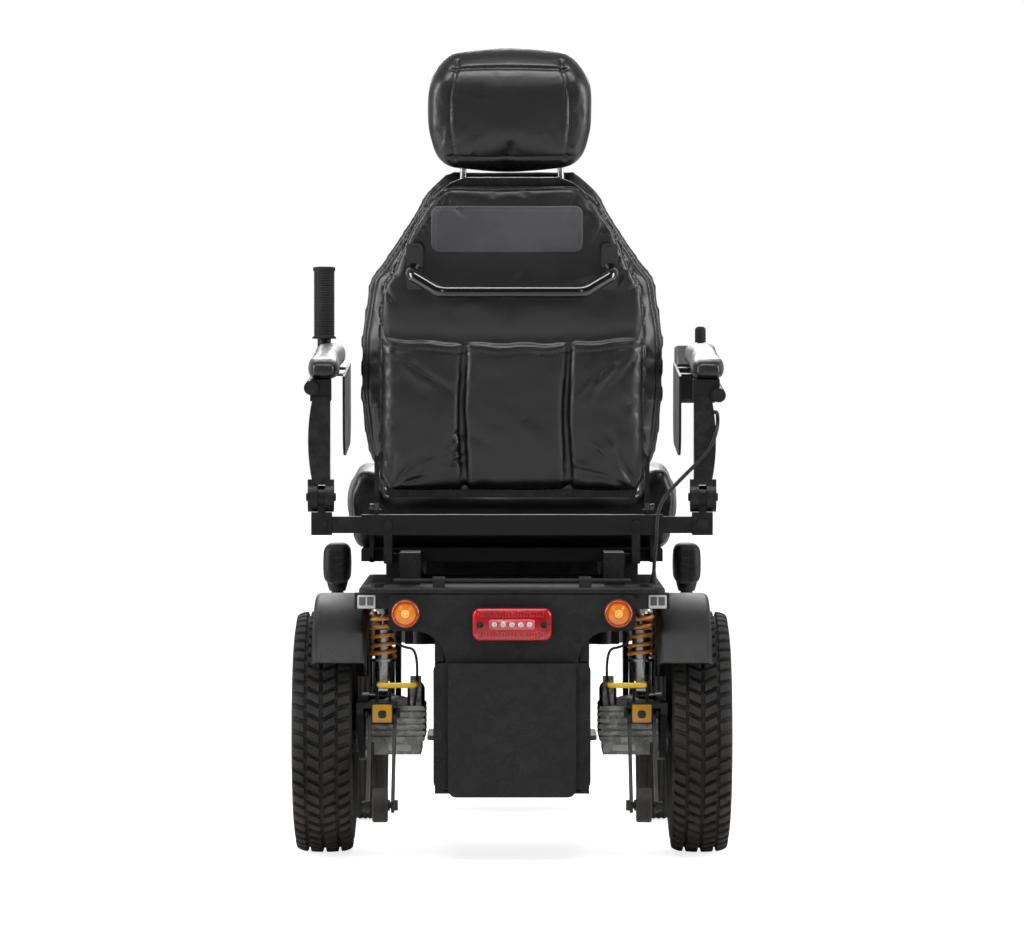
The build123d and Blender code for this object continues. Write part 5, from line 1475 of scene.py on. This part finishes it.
def makeTailLamp(look):
    x, y, z = look["middle"]
    base = joined("tail_lamp_base", [roundedPlate(look["middle"], *look["baseSize"], look["corner"],
                                                  [(0.0, 0.0), (0.0, look["baseDepth"] - 0.002),
                                                   (0.002, look["baseDepth"])])],
                  finishOf("plastic_black"))
    putOn(base, "plastic_black", "chassis", "rear_lamps")
    face = look["lensDepth"]
    lens = joined("tail_lamp_lens", [roundedPlate(look["middle"], *look["lensSize"], look["corner"] + 0.002, [
        (0.0010, look["baseDepth"] + 0.0002), (0.0, look["baseDepth"] + 0.002), (0.0, face - 0.0075),
        (0.0012, face - 0.0040), (0.0030, face - 0.0022), (0.0046, face - 0.0018), (0.0058, face - 0.0006),
        (0.0085, face - 0.0002),
    ])], finishOf("lens_red"))
    putOn(lens, "lens_red", "chassis")
    ribs = []
    wide = look["lensSize"][0] - 0.022
    for rib in range(look["ribs"]):
        across = -wide / 2 + wide * (rib + 0.5) / look["ribs"]
        tall = 0.0085
        for level in (-1, 1):
            ribs.append(boxShape((x + across, y - face + 0.0001, z + level * 0.0150),
                                 (wide / look["ribs"] * 0.55, 0.0009, tall),
                                 None, 0.0004))
    putOn(joined("tail_lamp_ribs", ribs, finishOf("lens_red")), "lens_red", "chassis")
    strip = joined("tail_lamp_strip", [roundedPlate((x, y - face + 0.0006, z), *look["stripSize"], 0.004, [
        (0.0, 0.0), (0.0002, 0.0012), (0.0012, 0.0018)])], finishOf("strip_clear"))
    putOn(strip, "lens_red", "chassis")
    dots = []
    for dot in range(look["dots"]):
        across = (dot - (look["dots"] - 1) / 2) * look["stripSize"][0] / (look["dots"] + 0.2)
        profile = [(0.0040, 0.0), (0.0036, 0.0008), (0.0024, 0.0013), (0.0004, 0.0015)]
        dots.append(revolve(profile, (x + across, y - face - 0.0008, z), (0, -1, 0), 24))
    putOn(joined("tail_lamp_diodes", dots, finishOf("lens_clear")), "lens_red", "chassis")
    for sign, label in ((-1, "left"), (1, "right")):
        at = (x + sign * look["screwAt"], y - face + 0.0006, z)
        parts = [revolve([(0.0052, 0.0), (0.0052, 0.0008), (0.0046, 0.0016), (0.0004, 0.0018)], at, (0, -1, 0), 28)]
        turn = Matrix.Rotation(math.radians(28 * sign), 3, "Y")
        for angle in (0, 90):
            spin = turn @ Matrix.Rotation(math.radians(angle), 3, "Y")
            parts.append(boxShape((at[0], at[1] - 0.0018, at[2]), (0.0062, 0.0006, 0.0013), spin))
        putOn(joined("tail_lamp_screw_" + label, parts, finishOf("plastic_black")), "plastic_black", "chassis")


sideLamp = {"across": 0.154, "back": -0.4925, "high": 0.360, "base": 0.0212, "rim": 0.0205, "lens": 0.0166,
            "baseDepth": 0.010, "depth": 0.0225}


def makeSideLamp(look, sideName, sign):
    at = (sign * look["across"], look["back"], look["high"])
    out = (0, -1, 0)
    base = turned("side_lamp_base_" + sideName, [
        (0.0005, 0.0), (look["base"], 0.0), (look["base"] + 0.0004, 0.004), (look["base"] - 0.0004, look["baseDepth"]),
        (look["base"] - 0.002, look["baseDepth"] + 0.0003), (0.0005, look["baseDepth"] + 0.0003),
    ], at, out, finishOf("grip_rubber"), 64)
    putOn(base, "grip_rubber", "chassis")
    top = look["depth"]
    rim = turned("side_lamp_rim_" + sideName, [
        (look["rim"] - 0.0008, look["baseDepth"]), (look["rim"], look["baseDepth"] + 0.0015),
        (look["rim"] - 0.0004, top - 0.0040), (look["rim"] - 0.0016, top - 0.0022),
        (look["lens"] + 0.0010, top - 0.0016),
        (look["lens"] + 0.0002, top - 0.0026), (look["lens"], top - 0.0050),
    ], at, out, finishOf("rim_orange"), 64)
    putOn(rim, "lens_red", "chassis")
    profile = [(look["lens"], top - 0.0050)]
    for step in range(1, 31):
        t = step / 31
        radius = look["lens"] * (1 - t)
        dome = top - 0.0050 + 0.0042 * math.sqrt(max(1 - (radius / look["lens"]) ** 2, 0))
        profile.append((radius, dome + (0.00022 if step % 3 == 0 else 0.0)))
    lens = turned("side_lamp_lens_" + sideName, profile + [(0.0003, top - 0.0008)], at, out, finishOf("lens_amber"), 64)
    putOn(lens, "lens_red", "chassis")
    bulb = turned("side_lamp_bulb_" + sideName, [
        (0.0062, top - 0.0016), (0.0056, top - 0.0008), (0.0040, top - 0.0004), (0.0032, top - 0.0010),
        (0.0018, top - 0.0002), (0.0003, top),
    ], at, out, finishOf("bulb_bright"), 32)
    putOn(bulb, "lens_red", "chassis")


frontPod = {
    "across": 0.272,
    "along": 0.0325,
    "low": 0.3805,
    "high": 0.4440,
    "half": (0.0198, 0.0368),
    "grooves": (0.4045, 0.4145, 0.4245),
    "stalk": 0.0095,
    "stalkLevel": 0.356,
    "stalkFoot": 0.177,
}


def makeFrontPod(look, sideName, sign):
    x, y = sign * look["across"], look["along"]
    low = (x - look["half"][0], y - look["half"][1], look["low"])
    high = (x + look["half"][0], y + look["half"][1], look["high"])
    tall = look["high"] - look["low"]

    def shape(across, along, level):
        t = (level - look["low"]) / tall
        swell = 0.92 + 0.16 * math.sin(math.pi * min(max(0.15 + 0.72 * t, 0), 1))
        return Vector((x + (across - x) * swell, y + (along - y) * (0.90 + 0.10 * math.sin(math.pi * t)), level))

    pod = softBox("front_pod_" + sideName, low, high, 0.0125, 16, finishOf("fender_black"), shape)
    subdivide(pod, 2)
    tree = surfaceOf(pod)
    lines = []
    for groove in look["grooves"]:
        for way in (-1, 1):
            route = [Vector((x + a, y + way * 0.09, groove - 0.0012 * (1 - (a / 0.010) ** 2)))
                     for a in np.linspace(-0.0105, 0.0105, 12)]
            lines.append((dropOnto(tree, route, Vector((0, -way, 0))), 0.0011, 0.0014, True))
    pressLines(pod, lines)
    putOn(pod, "plastic_black", "chassis", "front_lamps")
    lens = joined("front_pod_lens_" + sideName, [roundedPlate(
        (x, y + look["half"][1] * 0.955, (look["low"] + look["high"]) / 2 + 0.002), 0.027, 0.036, 0.012,
        [(0.0, 0.0), (0.0004, 0.0018), (0.0025, 0.0026), (0.0070, 0.0030)], 1)], finishOf("lens_clear"))
    putOn(lens, "lens_red", "chassis")
    route = [Vector((sign * look["stalkFoot"], y, look["stalkLevel"] - 0.030)),
             Vector((sign * look["stalkFoot"], y, look["stalkLevel"] - 0.012))]
    for step in range(9):
        angle = math.pi / 2 * step / 8
        route.append(Vector((sign * (look["stalkFoot"] + 0.012 * (1 - math.cos(angle))), y,
                             look["stalkLevel"] - 0.012 * (1 - math.sin(angle)))))
    for step in range(9):
        angle = math.pi / 2 * step / 8
        route.append(Vector((sign * (look["across"] - 0.012 + 0.012 * math.sin(angle)), y,
                             look["stalkLevel"] + 0.012 * (1 - math.cos(angle)))))
    route.append(Vector((x, y, look["low"] + 0.006)))
    putOn(tube("front_pod_stalk_" + sideName, route, look["stalk"], finishOf("plastic_black"), 20), "plastic_black",
          "chassis")
    collar = turned("front_pod_collar_" + sideName, [
        (0.0098, -0.012), (0.0128, -0.011), (0.0150, -0.004), (0.0165, 0.003), (0.0120, 0.006)],
        (x, y, look["low"]), (0, 0, 1), finishOf("plastic_black"), 40)
    putOn(collar, "plastic_black", "chassis")


makeTailLamp(tailLamp)
for sideName, sign in (("right", 1), ("left", -1)):
    makeSideLamp(sideLamp, sideName, sign)
    makeFrontPod(frontPod, sideName, sign)
print("lamps made")

# blank labels
labels = {
    "frame": {"across": 0.2110, "back": -0.4886, "high": 0.3765, "size": (0.0260, 0.0195)},
    "brake": {"across": 0.1885, "back": -0.4760, "high": 0.2135, "size": (0.0280, 0.0260)},
    "motor": {"across": 0.1640, "back": -0.4156, "high": 0.1592, "size": (0.0330, 0.0090)},
}


def makeLabels(look):
    for sideName, sign in (("right", 1), ("left", -1)):
        for kind, body, finish in (("frame", "chassis", "label_pale"),
                                   ("brake", "swing_arm_" + sideName, "label_amber"),
                                   ("motor", "swing_arm_" + sideName, "label_pale")):
            own = look[kind]
            middle = (sign * own["across"], own["back"], own["high"])
            plate = joined("{}_label_{}".format(kind, sideName), [roundedPlate(
                middle, *own["size"], 0.0016, [(0.0, 0.0), (0.0, 0.0003), (0.0003, 0.0004)])], finishOf(finish))
            putOn(plate, "panel_black", body)
        own = look["frame"]
        panels = []
        for column in (-1, 1):
            middle = (sign * own["across"] + column * 0.0058, own["back"] - 0.0004, own["high"] + 0.0008)
            panels.append(roundedPlate(middle, 0.0095, 0.0125, 0.001, [(0.0, 0.0), (0.0002, 0.0001)]))
        putOn(joined("frame_label_panels_" + sideName, panels, finishOf("button_grey")), "panel_black", "chassis")
        own = look["brake"]
        middle = (sign * own["across"], own["back"] - 0.0004, own["high"] - 0.001)
        panel = roundedPlate(middle, 0.0120, 0.0120, 0.0045, [(0.0, 0.0), (0.0002, 0.0001)])
        putOn(joined("brake_label_panel_" + sideName, [panel], finishOf("label_dark")), "panel_black",
              "swing_arm_" + sideName)


makeLabels(labels)
print("labels made")

# joystick boot and button marks
joystick = {
    "stick": (0.294, 0.0534),
    "pivot": 0.739,
    "bootFoot": (0.0105, 0.7420),  # radius, height
    "bootHead": (0.0048, 0.7575),
    "folds": 4,
    "buttonX": 0.276,
    "slopeStart": (-0.0266, 0.722),
    "slopeEnd": (0.0314, 0.751),
    "buttonSteps": (0.016, 0.030, 0.044),
}


def makeJoystickDetails(look):
    profile = []
    for step in range(look["folds"] * 6 + 1):
        t = step / (look["folds"] * 6)
        radius = look["bootFoot"][0] + (look["bootHead"][0] - look["bootFoot"][0]) * t
        profile.append((radius + 0.0008 * math.cos(2 * math.pi * look["folds"] * t), look["bootFoot"][1] - look["pivot"]
                        + (look["bootHead"][1] - look["bootFoot"][1]) * t))
    boot = turned("joystick_boot", profile, (*look["stick"], look["pivot"]), (0, 0, 1), finishOf("grip_rubber"), 40)
    putOn(boot, "grip_rubber", "joystick")
    start = Vector((0, *look["slopeStart"]))
    along = (Vector((0, *look["slopeEnd"])) - start).normalized()
    normal = Vector((0, -along.z, along.y))
    for number, step in enumerate(look["buttonSteps"], 1):
        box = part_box("joystick_button_" + str(number))
        middle = start + along * step
        top = max(abs((corner - middle).dot(normal)) for corner in box)
        lift = min(top, 0.0042)
        at = Vector((look["buttonX"], middle.y, middle.z)) + normal * (lift - 0.0004)
        mark = turned("button_mark_" + str(number), [(0.0024, 0.0), (0.0024, 0.0006), (0.0016, 0.0007), (0.0016, 0.0)],
                      at, normal, finishOf("rim_orange"), 28)
        putOn(mark, "lens_red", "button_" + str(number))


makeJoystickDetails(joystick)
print("joystick details made")

# the joystick's lead, clipped along the armrest and down to the lid
joystickLead = {
    "radius": 0.0028,
    "route": [
        (0.3000, 0.0094, 0.662), (0.3000, 0.0094, 0.638), (0.3020, -0.0266, 0.630), (0.3010, -0.0875, 0.634),
        (0.2990, -0.1575, 0.642), (0.3000, -0.2325, 0.647), (0.3030, -0.2975, 0.651), (0.3040, -0.3405, 0.648),
        (0.3030, -0.3725, 0.628), (0.2940, -0.3715, 0.601), (0.2800, -0.3715, 0.583), (0.2620, -0.3715, 0.565),
        (0.2400, -0.3715, 0.543), (0.2190, -0.3735, 0.519), (0.2130, -0.3765, 0.490), (0.2130, -0.3735, 0.458),
        (0.2090, -0.3655, 0.428), (0.2090, -0.3655, 0.397),
    ],
}


def smoothLine(name, route):
    # the points of one smooth spline that has the route's points as its handles
    curve = bpy.data.curves.new(name, "CURVE")
    curve.dimensions = "3D"
    spline = curve.splines.new("NURBS")
    spline.points.add(len(route) - 1)
    for point, place in zip(spline.points, route):
        point.co = (*place, 1.0)
    spline.order_u = 3
    spline.use_endpoint_u = True
    spline.resolution_u = 10
    holder = bpy.data.objects.new(name, curve)
    bpy.context.collection.objects.link(holder)
    mesh = bpy.data.meshes.new_from_object(holder)
    points = [v.co.copy() for v in mesh.vertices]
    bpy.data.objects.remove(holder)
    bpy.data.meshes.remove(mesh)
    return points


def makeJoystickLead(look):
    points = smoothLine("joystick_lead_line", look["route"])
    lead = tube("joystick_lead", points, look["radius"], finishOf("cable_black"), 14)
    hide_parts("joystick_lead_arm", "joystick_lead_base")
    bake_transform(lead)
    for number, at in enumerate((0, -1)):
        way = -1 if number == 0 else 1
        relief = turned("lead_relief_" + str(number), [
            (0.0030, 0.018), (0.0036, 0.016), (0.0034, 0.014), (0.0042, 0.012), (0.0040, 0.010), (0.0050, 0.008),
            (0.0048, 0.006), (0.0058, 0.003), (0.0060, 0.0)],
            look["route"][at], (0, 0, way), finishOf("cable_black"), 24)
        putOn(relief, "cable_black", "armrest_right" if number == 0 else "chassis")


makeJoystickLead(joystickLead)

motorLead = {"radius": 0.0019, "route": [(0.1560, -0.4560, 0.352), (0.1700, -0.4620, 0.335), (0.1700, -0.4640, 0.316),
                                         (0.1560, -0.4630, 0.309), (0.1430, -0.4600, 0.307), (0.1385, -0.4560, 0.292),
                                         (0.1380, -0.4450, 0.268), (0.1400, -0.4300, 0.240), (0.1430, -0.4150, 0.2205)]}
for sideName, sign in (("right", 1), ("left", -1)):
    route = [(sign * x, y, z) for x, y, z in motorLead["route"]]
    wireLine = tube("motor_lead_" + sideName, smoothLine("motor_lead_line", route), motorLead["radius"],
                    finishOf("cable_black"), 12)
    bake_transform(wireLine)
print("leads made")

# floor, world and lights
studio = {
    "seen": 1.0,  # how bright the empty background looks
    "behindCamera": 0.035,  # what reflections show towards the rear of the chair
    "beyondChair": 0.55,  # and towards its front
    "floorTone": "f2f2f1",
    "floorGlow": (0.80, 1.0),  # near the chair and far away
    "lights": [
        # place, aimed at, size, watts
        ((-2.8, -0.9, 1.5), (0.0, -0.3, 0.6), (0.8, 2.4), 60.0),
        ((2.8, -0.9, 1.5), (0.0, -0.3, 0.6), (0.8, 2.4), 60.0),
        ((0.0, -1.3, 3.0), (0.0, -0.35, 0.6), (2.2, 0.7), 45.0),
        ((-1.6, -5.6, 1.9), (0.0, -0.4, 0.5), (0.4, 1.6), 16.0),
        ((1.6, -5.6, 1.9), (0.0, -0.4, 0.5), (0.4, 1.6), 16.0),
        ((0.0, 3.2, 2.4), (0.0, 0.1, 0.6), (2.4, 1.6), 60.0),
    ],
}


def makeWorld(look):
    world = bpy.data.worlds.new("studioWorld")
    bpy.context.scene.world = world
    world.use_nodes = True
    tree = world.node_tree
    tree.nodes.clear()
    out = tree.nodes.new("ShaderNodeOutputWorld")
    seen = addNode(tree, "ShaderNodeBackground", Color=(1, 1, 1, 1), Strength=look["seen"])
    around = addNode(tree, "ShaderNodeBackground", Color=(1, 1, 1, 1))
    direction = addNode(tree, "ShaderNodeSeparateXYZ")
    wire(tree, addNode(tree, "ShaderNodeTexCoord").outputs["Generated"], direction.inputs[0])
    beyond = ramp(tree, direction.outputs["Y"], -0.15, 0.85)
    spread = look["beyondChair"] - look["behindCamera"]
    wire(tree, calculate(tree, "MULTIPLY_ADD", beyond, spread, look["behindCamera"]), around.inputs["Strength"])
    pick = tree.nodes.new("ShaderNodeMixShader")
    wire(tree, tree.nodes.new("ShaderNodeLightPath").outputs["Is Camera Ray"], pick.inputs[0])
    wire(tree, around.outputs[0], pick.inputs[1])
    wire(tree, seen.outputs[0], pick.inputs[2])
    wire(tree, pick.outputs[0], out.inputs[0])


def makeLights(look):
    for number, (place, aim, size, watts) in enumerate(look["lights"]):
        data = bpy.data.lights.new("softLight" + str(number), "AREA")
        data.shape = "RECTANGLE"
        data.size, data.size_y = size
        data.energy = watts
        lamp = bpy.data.objects.new("softLight" + str(number), data)
        lamp.location = place
        lamp.rotation_euler = (Vector(aim) - Vector(place)).to_track_quat("-Z", "Y").to_euler()
        bpy.context.collection.objects.link(lamp)


def makeFloor(look):
    # pale to look at, with only a soft shadow round the wheels
    floorLook = dict(colour=look["floorTone"], cloud="edede9", rough=(0.6, 0.75), grain=300, bump=0.0001)
    material = makeFinish("studio_floor", floorLook)
    tree = material.node_tree
    shader = tree.nodes["Principled BSDF"]
    place = addNode(tree, "ShaderNodeTexCoord").outputs["Object"]
    away = addNode(tree, "ShaderNodeVectorMath", operation="LENGTH")
    wire(tree, place, away.inputs[0])
    far = ramp(tree, away.outputs["Value"], 0.5, 2.2)
    near, farGlow = look["floorGlow"]
    glow = calculate(tree, "MULTIPLY_ADD", far, farGlow - near, near)
    seen = addNode(tree, "ShaderNodeLightPath").outputs["Is Camera Ray"]
    wire(tree, calculate(tree, "MULTIPLY", glow, seen), shader.inputs["Emission Strength"])
    shader.inputs["Emission Color"].default_value = (1, 1, 1, 1)
    points = [Vector((x, y, -0.0005)) for y in (-14, 22) for x in (-16, 16)]
    floor = newPiece("studio_floor", points, [(0, 1, 3, 2)], material, shade=False)


makeWorld(studio)
makeLights(studio)
makeFloor(studio)
bpy.context.scene.view_settings.view_transform = "Standard"
print("studio made")
